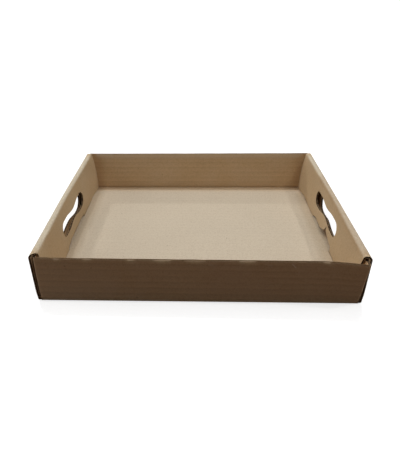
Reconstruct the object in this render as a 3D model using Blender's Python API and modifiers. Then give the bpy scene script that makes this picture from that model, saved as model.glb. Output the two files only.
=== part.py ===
"""Corrugated cardboard tray box, folded from one die-cut blank.

The blank is drawn flat, as its die cuts it: a floor with two slots at each end, a front and a back
wall that each carry two corner flaps, and two end panels that are long enough to go up, over the
corner flaps and down again inside the tray. It is then scored along its creases, folded, and given
the thickness of the board. Lengths are in metres, +Z is up and the front wall faces -Y.
"""

import math

import bmesh
import bpy
from mathutils import Vector

MM = 0.001

# Board
BOARD = 2.8 * MM
CREASE_INSIDE_RADIUS = 0.3 * MM
LAYER_GAP = 0.3 * MM

# Tray, measured outside at the bottom folds
TRAY_WIDTH = 408.0 * MM
TRAY_DEPTH = 330.0 * MM
TRAY_HEIGHT = 70.0 * MM

# Front and back walls
FRONT_DROP = 1.4 * MM
BACK_DROP = 0.7 * MM
FRONT_LEAN = 5.0 * MM
FRONT_LEAN_SKEW = 1.5 * MM
FRONT_RIGHT_FLARE = 5.5 * MM
FRONT_LEFT_PULL = 1.0 * MM
BACK_LEAN = 1.9 * MM
BACK_LEAN_SKEW = -0.3 * MM
BACK_FLARE = 0.8 * MM
FLARE_REACH = 60.0 * MM

# Corner flaps
FLAP_LENGTH = 80.0 * MM
FLAP_OUTER_GAP = 0.3 * MM
FLAP_FLOOR_GAP = 1.0 * MM
FLAP_STEP = 3.4 * MM
FLAP_SHOULDER = 6.0 * MM
FLAP_TAPER = math.radians(22.0)
FLAP_CORNER = 12.0 * MM
FLAP_LEAN = 1.0 * MM
FLAP_SPRING = 0.8 * MM
FLAP_JOG = 9.0 * MM
CORNER_CUT = 0.3 * MM
LIP_SETBACK = 1.2 * MM

# How far the top of each corner fold stands in from plumb
FRONT_LEFT_TUCK = 2.2 * MM
FRONT_RIGHT_TUCK = 1.2 * MM
BACK_TUCK = -1.0 * MM

# How far the cut edges of the roll-over stand back from the outside of the front and back
# walls: at the outer top fold, at the inner top fold and at the inner panel's foot
FRONT_LEFT_OUTER_INSET = 3.7 * MM
FRONT_LEFT_INNER_INSET = 8.7 * MM
FRONT_LEFT_FOOT_INSET = 10.0 * MM
FRONT_RIGHT_OUTER_INSET = 3.6 * MM
FRONT_RIGHT_INNER_INSET = 4.4 * MM
FRONT_RIGHT_FOOT_INSET = 6.5 * MM
BACK_LEFT_ROLL_INSET = 0.3 * MM
BACK_RIGHT_ROLL_INSET = 1.0 * MM
BACK_FOOT_INSET = 3.6 * MM

# End panels
FOOT_INSET = 2.4 * MM
FOOT_GAP = 0.3 * MM
PANEL_SPREAD = 1.0 * MM
SPREAD_HEIGHT = 18.0 * MM
LEFT_OUTER_BOW = 1.0 * MM
RIGHT_OUTER_BOW = 0.2 * MM
INNER_SQUEEZE = 2.0 * MM
SQUEEZE_REACH = 120.0 * MM
LEFT_INNER_BOW = 2.4 * MM
RIGHT_INNER_BOW = 0.0 * MM
INNER_BOW_PLACE = 25.0 * MM
INNER_CORNER_BULGE = 4.2 * MM
BULGE_START = 118.0 * MM
BULGE_LENGTH = 40.0 * MM
BULGE_HEIGHT_SHARE = 0.33

# Dents of the outer panels round the hand holes, and a swelling behind the right one: how deep,
# where along the panel, and how far they reach
LEFT_DENT_DEPTH = 6.2 * MM
LEFT_DENT_PLACE = 38.0 * MM
LEFT_DENT_FRONT_REACH = 80.0 * MM
LEFT_DENT_BACK_REACH = 50.0 * MM
RIGHT_DENT_DEPTH = 4.4 * MM
RIGHT_DENT_PLACE = -28.0 * MM
RIGHT_DENT_REACH = 70.0 * MM
RIGHT_SWELLING_DEPTH = 1.2 * MM
RIGHT_SWELLING_PLACE = 50.0 * MM
RIGHT_SWELLING_REACH = 60.0 * MM

# Hand holes
OUTER_HOLE_LENGTH = 115.0 * MM
OUTER_HOLE_HEIGHT = 29.0 * MM
LEFT_OUTER_HOLE_CENTRE = 34.5 * MM
RIGHT_OUTER_HOLE_CENTRE = 32.0 * MM
INNER_HOLE_LENGTH = 117.0 * MM
INNER_HOLE_HEIGHT = 23.5 * MM
LEFT_INNER_HOLE_CENTRE = 36.7 * MM
RIGHT_INNER_HOLE_CENTRE = 38.6 * MM
HOLE_HUMP = 5.5 * MM
HOLE_DIP = 3.8 * MM
WAIST_REACH = 34.0 * MM

# Locking tabs, their slots in the floor, and the arch between the tabs
TAB_START = 52.0 * MM
TAB_LENGTH = 61.0 * MM
TAB_CORNER = 1.2 * MM
SLOT_GAP = 0.4 * MM
SLOT_OVERRUN = 0.5 * MM
ARCH_RISE = 6.4 * MM

# Tear in the right inner panel, between the arch and the hand hole
TEAR_PLACE = -16.0 * MM
TEAR_TOP = 26.0 * MM
TEAR_LIP_HEIGHT = 19.3 * MM
TEAR_NEAR_REACH = 40.0 * MM
TEAR_FAR_REACH = 26.0 * MM
TEAR_CURL = 4.0 * MM
TEAR_WIDTH = 0.9 * MM
TEAR_LEAN = -2.6 * MM
TEAR_FAR_LIFT = 3.0 * MM
TEAR_NEAR_SINK = 1.6 * MM

# How finely the folded sheet is scored
CREASE_STEPS = 4
HOLE_END_STEPS = 7
HOLE_SIDE_STEPS = 10
ARCH_STEPS = 16
PANEL_SCORE = 15.0 * MM
HOLE_ROW_MARGIN_SHARE = 0.08
HOLE_ROW_SHARES = (-1.4, -1.0, -0.65, -0.4, 0.0, 0.42, 0.65, 1.0, 1.4)
WALL_SCORE = 22.0 * MM
FLAP_JOG_SCORE = 3.0 * MM
SCORE_SNAP = 0.05 * MM
FILL_SNAP = 0.01 * MM
STRAIGHT_ANGLE = math.radians(0.2)
ARCH_POWER = 4.0

CARDBOARD_COLOUR = (0.50, 0.37, 0.23, 1.0)
CARDBOARD_ROUGHNESS = 0.85

# The same sizes keyed by side (-1 left), by end (-1 front), or by both
WALL_DROPS = {-1: FRONT_DROP, 1: BACK_DROP}
CORNER_TUCKS = {
    (-1, -1): FRONT_LEFT_TUCK,
    (1, -1): FRONT_RIGHT_TUCK,
    (-1, 1): BACK_TUCK,
    (1, 1): BACK_TUCK,
}
ROLL_INSETS = {
    (-1, -1): (FRONT_LEFT_OUTER_INSET, FRONT_LEFT_INNER_INSET, FRONT_LEFT_FOOT_INSET),
    (1, -1): (FRONT_RIGHT_OUTER_INSET, FRONT_RIGHT_INNER_INSET, FRONT_RIGHT_FOOT_INSET),
    (-1, 1): (BACK_LEFT_ROLL_INSET, BACK_LEFT_ROLL_INSET, BACK_FOOT_INSET),
    (1, 1): (BACK_RIGHT_ROLL_INSET, BACK_RIGHT_ROLL_INSET, BACK_FOOT_INSET),
}
OUTER_BOW = {-1: LEFT_OUTER_BOW, 1: RIGHT_OUTER_BOW}
INNER_BOW = {-1: LEFT_INNER_BOW, 1: RIGHT_INNER_BOW}
OUTER_DENTS = {
    -1: ((LEFT_DENT_DEPTH, LEFT_DENT_PLACE, LEFT_DENT_FRONT_REACH, LEFT_DENT_BACK_REACH),),
    1: (
        (RIGHT_DENT_DEPTH, RIGHT_DENT_PLACE, RIGHT_DENT_REACH, RIGHT_DENT_REACH),
        (-RIGHT_SWELLING_DEPTH, RIGHT_SWELLING_PLACE, RIGHT_SWELLING_REACH, RIGHT_SWELLING_REACH),
    ),
}
OUTER_HOLE_CENTRES = {-1: LEFT_OUTER_HOLE_CENTRE, 1: RIGHT_OUTER_HOLE_CENTRE}
INNER_HOLE_CENTRES = {-1: LEFT_INNER_HOLE_CENTRE, 1: RIGHT_INNER_HOLE_CENTRE}

# Worked out from the sizes above
BEND_RADIUS = BOARD / 2 + CREASE_INSIDE_RADIUS
QUARTER = math.pi / 2
BEND = BEND_RADIUS * QUARTER
BEND_LEVEL = BOARD / 2 + BEND_RADIUS
STACK = 3 * BOARD + 2 * LAYER_GAP
FLOOR_HALF_X = TRAY_WIDTH / 2 - BEND_LEVEL
FLOOR_HALF_Y = TRAY_DEPTH / 2 - BEND_LEVEL
PANEL_HALF_Y = TRAY_DEPTH / 2 - CORNER_CUT
FLAP_PLANE = TRAY_WIDTH / 2 - BOARD - FLAP_OUTER_GAP - BOARD / 2
WALL_HALF_X = FLAP_PLANE - BEND_RADIUS
WALL_RUNS = {end: BEND + TRAY_HEIGHT - drop - BEND_LEVEL for end, drop in WALL_DROPS.items()}
FLAP_FOOT = BEND + BOARD + FLAP_FLOOR_GAP - BEND_LEVEL
CUT_LINE_Y = (PANEL_HALF_Y + FLOOR_HALF_Y + FLAP_FOOT) / 2
OUTER_RISE = TRAY_HEIGHT - 2 * BEND_LEVEL
ROLL_FLAT = STACK - BOARD - 2 * BEND_RADIUS
INNER_DROP = TRAY_HEIGHT - BEND_LEVEL - BOARD - FOOT_GAP
SLANT = math.atan(FOOT_INSET / INNER_DROP)
INNER_TURN = QUARTER - SLANT
INNER_BEND = BEND_RADIUS * INNER_TURN
INNER_RUN = INNER_DROP / math.cos(SLANT)
ROLL_START = BEND + OUTER_RISE
INNER_START = ROLL_START + BEND + ROLL_FLAT + INNER_BEND
FOOT_RUN = INNER_START + INNER_RUN
TAB_DEPTH = BOARD / math.cos(SLANT)


def along(pieces, distance):
    """The place and heading reached after a distance on a line of straight and bent pieces.

    Each piece is a length and the angle that it turns through. The line starts at the origin
    and heads along the first axis.
    """
    run, rise, heading = 0.0, 0.0, 0.0
    last = len(pieces) - 1
    for index, (length, turn) in enumerate(pieces):
        step = distance if index == last else min(distance, length)
        if turn:
            radius = length / turn
            bend = step / radius
            run += radius * (math.sin(heading + bend) - math.sin(heading))
            rise += radius * (math.cos(heading) - math.cos(heading + bend))
            heading += bend
        else:
            run += step * math.cos(heading)
            rise += step * math.sin(heading)
        distance -= step
        if distance <= 0:
            break
    return run, rise, heading


END_LINE = (
    (BEND, QUARTER),
    (OUTER_RISE, 0),
    (BEND, QUARTER),
    (ROLL_FLAT, 0),
    (INNER_BEND, INNER_TURN),
    (INNER_RUN, 0),
)


def smooth(value):
    """Zero below 0, one above 1, and a smooth step between."""
    value = min(max(value, 0.0), 1.0)
    return value * value * (3 - 2 * value)


def swell(distance, reach):
    """One at no distance, falling smoothly to nothing at the reach."""
    return 0.5 + 0.5 * math.cos(math.pi * min(abs(distance) / reach, 1.0))


def outer_run(height):
    """Distance from the end crease to a height on the outer panel, on the flat blank."""
    return BEND + height - BEND_LEVEL


def inner_run(height):
    """Distance from the end crease to a height on the inner panel, on the flat blank."""
    return FOOT_RUN - (height - BOARD - FOOT_GAP) / math.cos(SLANT)


def slot_centre():
    """How far from the middle of the tray the slots lie, under the feet of the inner panels."""
    run, _, _ = along(END_LINE, FOOT_RUN + TAB_DEPTH / 2)
    return FLOOR_HALF_X + run


def hand_hole(length, height):
    """The outline of a hand hole about its own centre, as (along the wall, up) points."""
    radius = height / 2
    straight = length / 2 - radius
    points = []
    for step in range(HOLE_SIDE_STEPS):
        place = straight * (2 * step / HOLE_SIDE_STEPS - 1)
        points.append((place, -radius + HOLE_HUMP * swell(place, WAIST_REACH)))
    for step in range(HOLE_END_STEPS):
        angle = math.pi * step / HOLE_END_STEPS - QUARTER
        points.append((straight + radius * math.cos(angle), radius * math.sin(angle)))
    for step in range(HOLE_SIDE_STEPS):
        place = straight * (1 - 2 * step / HOLE_SIDE_STEPS)
        points.append((place, radius - HOLE_DIP * swell(place, WAIST_REACH)))
    for step in range(HOLE_END_STEPS):
        angle = math.pi * step / HOLE_END_STEPS + QUARTER
        points.append((-straight + radius * math.cos(angle), radius * math.sin(angle)))
    return points


def flap_outline(side, end):
    """The corner flap's cut line, from its foot at the wall to its step below the wall's top."""
    foot = FLOOR_HALF_Y + FLAP_FOOT
    wall_top = FLOOR_HALF_Y + WALL_RUNS[end]
    top = wall_top - FLAP_STEP
    fold_end = WALL_HALF_X + BEND
    tip_x = fold_end + FLAP_LENGTH
    tip_top = top - FLAP_LENGTH * math.tan(FLAP_TAPER)
    points = [
        (WALL_HALF_X, foot),
        (tip_x - FLAP_CORNER, foot),
        (tip_x, foot + FLAP_CORNER),
        (tip_x, tip_top),
    ]
    if end < 0:
        points += [(fold_end + FLAP_SHOULDER, top), (fold_end, wall_top)]
    else:
        points += [(fold_end, top), (WALL_HALF_X, top)]
    return [(side * x, end * y) for x, y in points]


def wall_outline(end):
    """The cut line of a wall with its two flaps, from the left corner of the floor to the right."""
    arc_end = FLOOR_HALF_Y + BEND
    top = FLOOR_HALF_Y + WALL_RUNS[end]
    lip = FLOOR_HALF_X - LIP_SETBACK
    left = [
        (-FLOOR_HALF_X, end * FLOOR_HALF_Y),
        (-lip, end * arc_end),
        (-WALL_HALF_X, end * arc_end),
    ]
    left += flap_outline(-1, end)
    left += [(-WALL_HALF_X, end * top)]
    right = [(-x, y) for x, y in reversed(left)]
    return left + right


def arch_height(side, place):
    """Height of the inner panel's lower edge at a place between its tabs."""
    share = min(abs(place) / TAB_START, 1.0)
    height = BOARD + FOOT_GAP + ARCH_RISE * math.sqrt(1 - share**ARCH_POWER)
    if side < 0:
        return height
    away = place - TEAR_PLACE
    reach = TEAR_FAR_REACH if away > 0 else TEAR_NEAR_REACH
    sweep = math.sqrt(min(abs(away) / reach, 1.0))
    arch_top = BOARD + FOOT_GAP + ARCH_RISE
    torn = TEAR_LIP_HEIGHT + (arch_top - TEAR_LIP_HEIGHT) * sweep
    return torn if sweep < 1 else height


def arch_outline(side):
    """The lower edge between the tabs, as (along, height) points, with the tear on the right."""
    points = []
    for step in range(1, ARCH_STEPS):
        place = TAB_START * math.sin(QUARTER * (2 * step / ARCH_STEPS - 1))
        points.append((place, arch_height(side, place)))
    if side > 0:
        near = [point for point in points if point[0] < TEAR_PLACE - TEAR_CURL]
        far = [point for point in points if point[0] > TEAR_PLACE + TEAR_CURL]
        points = near + tear_outline() + far
    return points


def tear_outline():
    """The tear's two curled lips and the slit that runs up from between them."""
    low = (TEAR_PLACE - TEAR_CURL, TEAR_PLACE + TEAR_CURL)
    return [
        (low[0], arch_height(1, low[0])),
        (TEAR_PLACE - TEAR_WIDTH / 2, TEAR_LIP_HEIGHT),
        (TEAR_PLACE + TEAR_LEAN, TEAR_TOP),
        (TEAR_PLACE + TEAR_WIDTH / 2, TEAR_LIP_HEIGHT),
        (low[1], arch_height(1, low[1])),
    ]


def tear_line(height):
    """Where the tear lies along the panel at a height."""
    share = (height - TEAR_LIP_HEIGHT) / (TEAR_TOP - TEAR_LIP_HEIGHT)
    return TEAR_PLACE + TEAR_LEAN * min(max(share, 0.0), 1.0)


def tab_outline(start, stop):
    """One locking tab, from where it starts along the foot to where it stops."""
    step = TAB_CORNER if stop > start else -TAB_CORNER
    tip = FOOT_RUN + TAB_DEPTH
    return [
        (FOOT_RUN, start),
        (tip - TAB_CORNER, start),
        (tip, start + step),
        (tip, stop - step),
        (tip - TAB_CORNER, stop),
        (FOOT_RUN, stop),
    ]


def end_outline(side):
    """The cut line of an end panel, from its front corner to its back corner."""
    half = TRAY_DEPTH / 2
    tab_stop = TAB_START + TAB_LENGTH
    near = ROLL_INSETS[(side, -1)]
    far = ROLL_INSETS[(side, 1)]
    runs = [
        (0, -FLOOR_HALF_Y),
        (BEND, -PANEL_HALF_Y),
        (ROLL_START, -PANEL_HALF_Y),
        (ROLL_START + BEND, -half + near[0]),
        (INNER_START, -half + near[1]),
        (FOOT_RUN, -half + near[2]),
    ]
    runs += tab_outline(-tab_stop, -TAB_START)
    runs += [(inner_run(height), place) for place, height in arch_outline(side)]
    runs += tab_outline(TAB_START, tab_stop)
    runs += [
        (FOOT_RUN, half - far[2]),
        (INNER_START, half - far[1]),
        (ROLL_START + BEND, half - far[0]),
        (ROLL_START, PANEL_HALF_Y),
        (BEND, PANEL_HALF_Y),
    ]
    return [(side * (FLOOR_HALF_X + run), y) for run, y in runs]


def blank_outlines():
    """The outline of the blank, and each hole and slot in it."""
    outer = end_outline(1)
    outer += [(x, y) for x, y in reversed(wall_outline(1))]
    outer += list(reversed(end_outline(-1)))[:-1]
    outer += wall_outline(-1)[:-1]
    outlines = [outer]
    slot_x = slot_centre()
    slot_half = BOARD / 2 / math.cos(SLANT) + SLOT_GAP
    for side in (-1, 1):
        outer_base = FLOOR_HALF_X + outer_run(OUTER_HOLE_CENTRES[side])
        inner_base = FLOOR_HALF_X + inner_run(INNER_HOLE_CENTRES[side])
        outer_hole = hand_hole(OUTER_HOLE_LENGTH, OUTER_HOLE_HEIGHT)
        inner_hole = hand_hole(INNER_HOLE_LENGTH, INNER_HOLE_HEIGHT)
        outlines.append([(side * (outer_base + rise), place) for place, rise in outer_hole])
        outlines.append([(side * (inner_base - rise), place) for place, rise in inner_hole])
        for end in (-1, 1):
            start = TAB_START - SLOT_OVERRUN
            stop = TAB_START + TAB_LENGTH + SLOT_OVERRUN
            corners = [(-slot_half, start), (slot_half, start), (slot_half, stop), (-slot_half, stop)]
            outlines.append([(side * (slot_x + dx), end * y) for dx, y in corners])
    return outlines


def without_repeats(points):
    """The points of a closed line with each one that repeats its neighbour left out."""
    kept = []
    for point in points:
        if not kept or math.dist(point, kept[-1]) > SCORE_SNAP:
            kept.append(point)
    if math.dist(kept[0], kept[-1]) <= SCORE_SNAP:
        kept.pop()
    return kept


def flat_blank(collection):
    """The blank as a flat filled outline, turned into a mesh."""
    curve = bpy.data.curves.new("blank_outline", "CURVE")
    curve.dimensions = "2D"
    curve.fill_mode = "BOTH"
    for points in blank_outlines():
        points = without_repeats(points)
        spline = curve.splines.new("POLY")
        spline.points.add(len(points) - 1)
        for spot, (x, y) in zip(spline.points, points):
            spot.co = (x, y, 0.0, 1.0)
        spline.use_cyclic_u = True
    outline = bpy.data.objects.new("blank_outline", curve)
    collection.objects.link(outline)
    graph = bpy.context.evaluated_depsgraph_get()
    mesh = bpy.data.meshes.new_from_object(outline.evaluated_get(graph))
    bpy.data.objects.remove(outline)
    return mesh


def score(bm, axis, places, inside):
    """Cuts the faces that the test holds for along lines across one axis."""
    marks = bm.edges.layers.int["scored"]
    normal = Vector((1, 0, 0)) if axis == 0 else Vector((0, 1, 0))
    for place in places:
        faces = [face for face in bm.faces if inside(face.calc_center_median())]
        geometry = set(faces)
        for face in faces:
            geometry.update(face.edges)
            geometry.update(face.verts)
        cut = bmesh.ops.bisect_plane(
            bm, geom=list(geometry), dist=SCORE_SNAP, plane_co=normal * place, plane_no=normal
        )
        for part in cut["geom_cut"]:
            if isinstance(part, bmesh.types.BMEdge):
                part[marks] = 1


def both(values):
    """Each value and its mirror image."""
    return [sign * value for value in values for sign in (-1, 1)]


def steps(start, stop, count):
    """Evenly spaced places between two ends, with the ends."""
    return [start + (stop - start) * index / count for index in range(count + 1)]


def spaced(start, stop, spacing):
    """Places between two ends, no further apart than the spacing, without the ends."""
    count = max(1, math.ceil((stop - start) / spacing))
    return steps(start, stop, count)[1:-1]


def hole_rows(centre, height, start, stop):
    """Rows across a panel about its hand hole, which don't just touch the hole's edge."""
    clear = abs(height) * HOLE_ROW_MARGIN_SHARE
    rows = [centre + height * share for share in HOLE_ROW_SHARES]
    return [row for row in rows if start + clear < row < stop - clear]


def in_wall(centre):
    return abs(centre.y) > CUT_LINE_Y and abs(centre.x) < WALL_HALF_X


def in_flap(centre):
    return abs(centre.y) > CUT_LINE_Y and abs(centre.x) > WALL_HALF_X


def in_middle(centre):
    return abs(centre.y) < CUT_LINE_Y


def in_floor_strip(centre):
    return abs(centre.y) < CUT_LINE_Y and abs(centre.x) < FLOOR_HALF_X


def in_end(centre):
    return abs(centre.y) < CUT_LINE_Y and abs(centre.x) > FLOOR_HALF_X


def in_right_end(centre):
    return in_end(centre) and centre.x > 0


def in_left_end(centre):
    return in_end(centre) and centre.x < 0


def in_wall_foot(centre):
    return FLOOR_HALF_Y < abs(centre.y) < CUT_LINE_Y and abs(centre.x) < FLOOR_HALF_X


def in_floor(centre):
    return abs(centre.y) < FLOOR_HALF_Y and abs(centre.x) < FLOOR_HALF_X


def score_blank(bm):
    """Scores every crease, and the lines along which the walls and panels can bow."""
    bm.edges.layers.int.new("scored")
    wall_lines = spaced(-WALL_HALF_X, WALL_HALF_X, WALL_SCORE)
    wall_top = FLOOR_HALF_Y + max(WALL_RUNS.values())
    flap_start = WALL_HALF_X + BEND
    score(bm, 1, both([CUT_LINE_Y]), lambda centre: True)
    score(bm, 0, both([FLOOR_HALF_X]), in_middle)
    score(bm, 1, both([FLOOR_HALF_Y]), in_floor_strip)
    score(bm, 1, both(steps(FLOOR_HALF_Y, FLOOR_HALF_Y + BEND, CREASE_STEPS)[1:]), in_wall_foot)
    score(bm, 0, wall_lines + both([WALL_HALF_X]), in_wall_foot)
    score(bm, 0, both([WALL_HALF_X]), lambda centre: abs(centre.y) > CUT_LINE_Y)
    score(bm, 0, wall_lines, in_wall)
    score(bm, 1, both(spaced(CUT_LINE_Y, wall_top, WALL_SCORE)), in_wall)
    score(bm, 0, both(steps(WALL_HALF_X, WALL_HALF_X + BEND, CREASE_STEPS)[1:]), in_flap)
    score(bm, 0, both(spaced(flap_start, flap_start + FLAP_JOG, FLAP_JOG_SCORE)), in_flap)
    score(bm, 0, both(spaced(flap_start + FLAP_JOG, flap_start + FLAP_LENGTH, WALL_SCORE)), in_flap)
    score(bm, 1, both(spaced(CUT_LINE_Y, wall_top, WALL_SCORE)), in_flap)
    runs = steps(0, BEND, CREASE_STEPS)[1:]
    runs += steps(ROLL_START, ROLL_START + BEND, CREASE_STEPS)
    runs += steps(INNER_START - INNER_BEND, INNER_START, CREASE_STEPS) + [FOOT_RUN]
    for side, inside in ((-1, in_left_end), (1, in_right_end)):
        rows = hole_rows(outer_run(OUTER_HOLE_CENTRES[side]), OUTER_HOLE_HEIGHT, BEND, ROLL_START)
        rows += hole_rows(inner_run(INNER_HOLE_CENTRES[side]), -INNER_HOLE_HEIGHT, INNER_START, FOOT_RUN)
        score(bm, 0, [side * (FLOOR_HALF_X + run) for run in runs + rows], inside)
    score(bm, 1, spaced(-PANEL_HALF_Y, PANEL_HALF_Y, PANEL_SCORE), in_end)
    score(bm, 0, both([slot_centre()]), in_floor)
    score(bm, 1, both([TAB_START + TAB_LENGTH / 2]), in_floor)


def join_unscored(bm):
    """Joins the faces on both sides of each line that isn't a score."""
    marks = bm.edges.layers.int["scored"]
    spare = [edge for edge in bm.edges if len(edge.link_faces) == 2 and not edge[marks]]
    bmesh.ops.dissolve_edges(bm, edges=spare, use_verts=False, use_face_split=False)
    ends = [vert for vert in bm.verts if len(vert.link_edges) == 2]
    straight = [vert for vert in ends if vert.calc_edge_angle(math.pi) < STRAIGHT_ANGLE]
    bmesh.ops.dissolve_verts(bm, verts=straight)
    bmesh.ops.remove_doubles(bm, verts=bm.verts, dist=SCORE_SNAP)


def lean_angle(end, lean):
    """The angle at which a wall stands out of plumb when its top is out by the lean."""
    return math.asin(lean / (WALL_RUNS[end] - BEND))


def wall_lean(end, x):
    """How far a wall's top stands out at a place along it."""
    share = x / WALL_HALF_X
    near_end = max(0.0, 1 - (WALL_HALF_X - abs(x)) / FLARE_REACH) ** 2
    if end > 0:
        return BACK_LEAN + BACK_LEAN_SKEW * share + BACK_FLARE * near_end
    flare = FRONT_RIGHT_FLARE if x > 0 else -FRONT_LEFT_PULL
    return FRONT_LEAN + FRONT_LEAN_SKEW * share + flare * near_end


def wall_place(end, x, run):
    """Where a point of a wall, or of the flap beyond its end, goes."""
    side = 1 if x > 0 else -1
    wall_x = min(abs(x), FLAP_PLANE + BOARD / 2)
    on_flap = run > FLAP_FOOT - SCORE_SNAP and abs(x) > WALL_HALF_X
    if on_flap:
        wall_x = WALL_HALF_X
    lean = lean_angle(end, wall_lean(end, side * min(wall_x, WALL_HALF_X)))
    out, up, _ = along(((BEND, QUARTER - lean), (WALL_RUNS[end], 0)), run)
    y = FLOOR_HALF_Y + out
    z = BOARD / 2 + up
    inward = 0.0
    jog = 0.0
    if on_flap:
        aside, back, _ = along(((BEND, QUARTER), (FLAP_LENGTH, 0)), abs(x) - WALL_HALF_X)
        wall_x += aside
        inward = back
        jog = smooth((back - BEND_RADIUS) / FLAP_JOG)
    y -= inward * math.cos(lean)
    z += inward * math.sin(lean)
    rise = z / TRAY_HEIGHT
    tuck = CORNER_TUCKS[(side, end)] * min(wall_x / WALL_HALF_X, 1.0) * rise * rise
    spring = FLAP_SPRING * (inward / FLAP_LENGTH) ** 2
    wall_x += FLAP_LEAN * rise * jog - tuck * (1 - jog) - spring
    return Vector((side * wall_x, end * y, z))


def middle_share(z):
    """One half-way up a panel, falling smoothly to nothing at the floor and at the top."""
    return swell(z - TRAY_HEIGHT / 2, (TRAY_HEIGHT - BOARD) / 2)


def outer_drift(side, y, z):
    """How far the outer panel stands in from its true plane."""
    dent = 0.0
    for depth, place, front_reach, back_reach in OUTER_DENTS[side]:
        reach = front_reach if y < place else back_reach
        dent += depth * swell(y - place, reach) * middle_share(z)
    bow = OUTER_BOW[side] * swell(y, TRAY_DEPTH / 2) * z / TRAY_HEIGHT
    return dent - bow - PANEL_SPREAD * smooth(z / SPREAD_HEIGHT)


def inner_drift(side, y, z):
    """How far the inner panel stands in from its true plane."""
    share = z / TRAY_HEIGHT
    bulge_level = max(0.0, 1 - ((share - BULGE_HEIGHT_SHARE) / (1 - BULGE_HEIGHT_SHARE)) ** 2)
    drift = INNER_CORNER_BULGE * smooth((abs(y) - BULGE_START) / BULGE_LENGTH) * bulge_level
    drift -= PANEL_SPREAD * share
    drift -= INNER_SQUEEZE * swell(y, SQUEEZE_REACH) * max(share, 0.0) ** 3
    drift += INNER_BOW[side] * swell(y - INNER_BOW_PLACE, SQUEEZE_REACH) * middle_share(z)
    if side > 0:
        low = max(0.0, 1 - z / TEAR_TOP)
        tear = tear_line(z)
        if y > tear:
            drift += TEAR_FAR_LIFT * low * smooth((TAB_START - y) / (TAB_START - tear))
        else:
            drift -= TEAR_NEAR_SINK * low * smooth((TAB_START + y) / (TAB_START + tear))
    return drift


def end_place(side, y, run):
    """Where a point of an end panel goes, up the outside, over the top and down the inside."""
    out, up, _ = along(END_LINE, run)
    x = FLOOR_HALF_X + out
    z = BOARD / 2 + up
    share = min(max((run - ROLL_START - BEND) / ROLL_FLAT, 0.0), 1.0)
    drift = (1 - share) * outer_drift(side, y, z) + share * inner_drift(side, y, z)
    return Vector((side * (x - drift), y, z))


def folded(point):
    """Where a point of the flat blank goes."""
    side = 1 if point.x > 0 else -1
    end = 1 if point.y > 0 else -1
    if abs(point.x) > FLOOR_HALF_X and abs(point.y) < CUT_LINE_Y:
        return end_place(side, point.y, abs(point.x) - FLOOR_HALF_X)
    if abs(point.y) > FLOOR_HALF_Y:
        return wall_place(end, point.x, abs(point.y) - FLOOR_HALF_Y)
    return Vector((point.x, point.y, BOARD / 2))


def cardboard():
    """The board's own material."""
    material = bpy.data.materials.new("brown_cardboard")
    material.use_nodes = True
    shader = material.node_tree.nodes["Principled BSDF"]
    shader.inputs["Base Color"].default_value = CARDBOARD_COLOUR
    shader.inputs["Roughness"].default_value = CARDBOARD_ROUGHNESS
    return material


def fold_tray(collection):
    """Scores and folds the blank, gives it the board's thickness and centres it on its base."""
    mesh = flat_blank(collection)
    bm = bmesh.new()
    bm.from_mesh(mesh)
    bmesh.ops.remove_doubles(bm, verts=bm.verts, dist=FILL_SNAP)
    for face in bm.faces:
        if face.normal.z < 0:
            face.normal_flip()
    score_blank(bm)
    join_unscored(bm)
    bmesh.ops.triangulate(bm, faces=bm.faces)
    for vert in bm.verts:
        vert.co = folded(vert.co)
    bm.to_mesh(mesh)
    bm.free()
    mesh.name = "folded_tray"
    mesh.materials.clear()
    mesh.materials.append(cardboard())
    tray = bpy.data.objects.new("folded_tray", mesh)
    collection.objects.link(tray)
    board = tray.modifiers.new("board", "SOLIDIFY")
    board.thickness = BOARD
    board.offset = 0.0
    board.use_even_offset = True
    return tray


def centre_on_base(tray):
    """Moves the sheet so that the middle of the finished tray's base is the origin."""
    bpy.context.view_layer.update()
    graph = bpy.context.evaluated_depsgraph_get()
    corners = [Vector(corner) for corner in tray.evaluated_get(graph).bound_box]
    low = Vector([min(corner[axis] for corner in corners) for axis in range(3)])
    high = Vector([max(corner[axis] for corner in corners) for axis in range(3)])
    middle = (low + high) / 2
    middle.z = low.z
    for vertex in tray.data.vertices:
        vertex.co -= middle


def main():
    """Builds the tray in a collection of its own."""
    for item in list(bpy.data.objects):
        bpy.data.objects.remove(item)
    collection = bpy.data.collections.new("cardboard_tray_box")
    bpy.context.scene.collection.children.link(collection)
    tray = fold_tray(collection)
    centre_on_base(tray)


main()
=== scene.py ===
"""Cardboard tray box: its looks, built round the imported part.

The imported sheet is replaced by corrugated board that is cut, scored and folded in the same way as
the real blank: two paper liners with a fluted sheet between them, which shows at every cut edge.
Lengths are in metres, +Z is up and the front wall faces -Y.
"""

import logging
import math
from dataclasses import dataclass
from enum import Enum
from typing import Callable, Iterable, Sequence

import bmesh
import bpy
import numpy as np
from mathutils import Matrix, Vector, noise
from mathutils.kdtree import KDTree


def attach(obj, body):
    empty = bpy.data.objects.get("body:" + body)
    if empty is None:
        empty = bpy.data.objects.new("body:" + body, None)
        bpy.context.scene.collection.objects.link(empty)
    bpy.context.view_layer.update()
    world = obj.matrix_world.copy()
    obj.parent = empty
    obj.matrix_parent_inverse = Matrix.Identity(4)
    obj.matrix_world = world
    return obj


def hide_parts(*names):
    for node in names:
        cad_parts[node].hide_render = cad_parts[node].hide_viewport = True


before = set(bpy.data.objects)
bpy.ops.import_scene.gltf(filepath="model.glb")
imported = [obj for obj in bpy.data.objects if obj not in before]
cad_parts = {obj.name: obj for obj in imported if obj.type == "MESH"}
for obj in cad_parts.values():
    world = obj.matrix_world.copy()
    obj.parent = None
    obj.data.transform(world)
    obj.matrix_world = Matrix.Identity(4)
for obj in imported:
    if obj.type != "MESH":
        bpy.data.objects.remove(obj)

LOG = logging.getLogger("tray")
MM = 0.001
QUARTER = math.pi / 2
NODE = "folded_tray"
BLANK_ATTRIBUTE = "blank"
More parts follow.
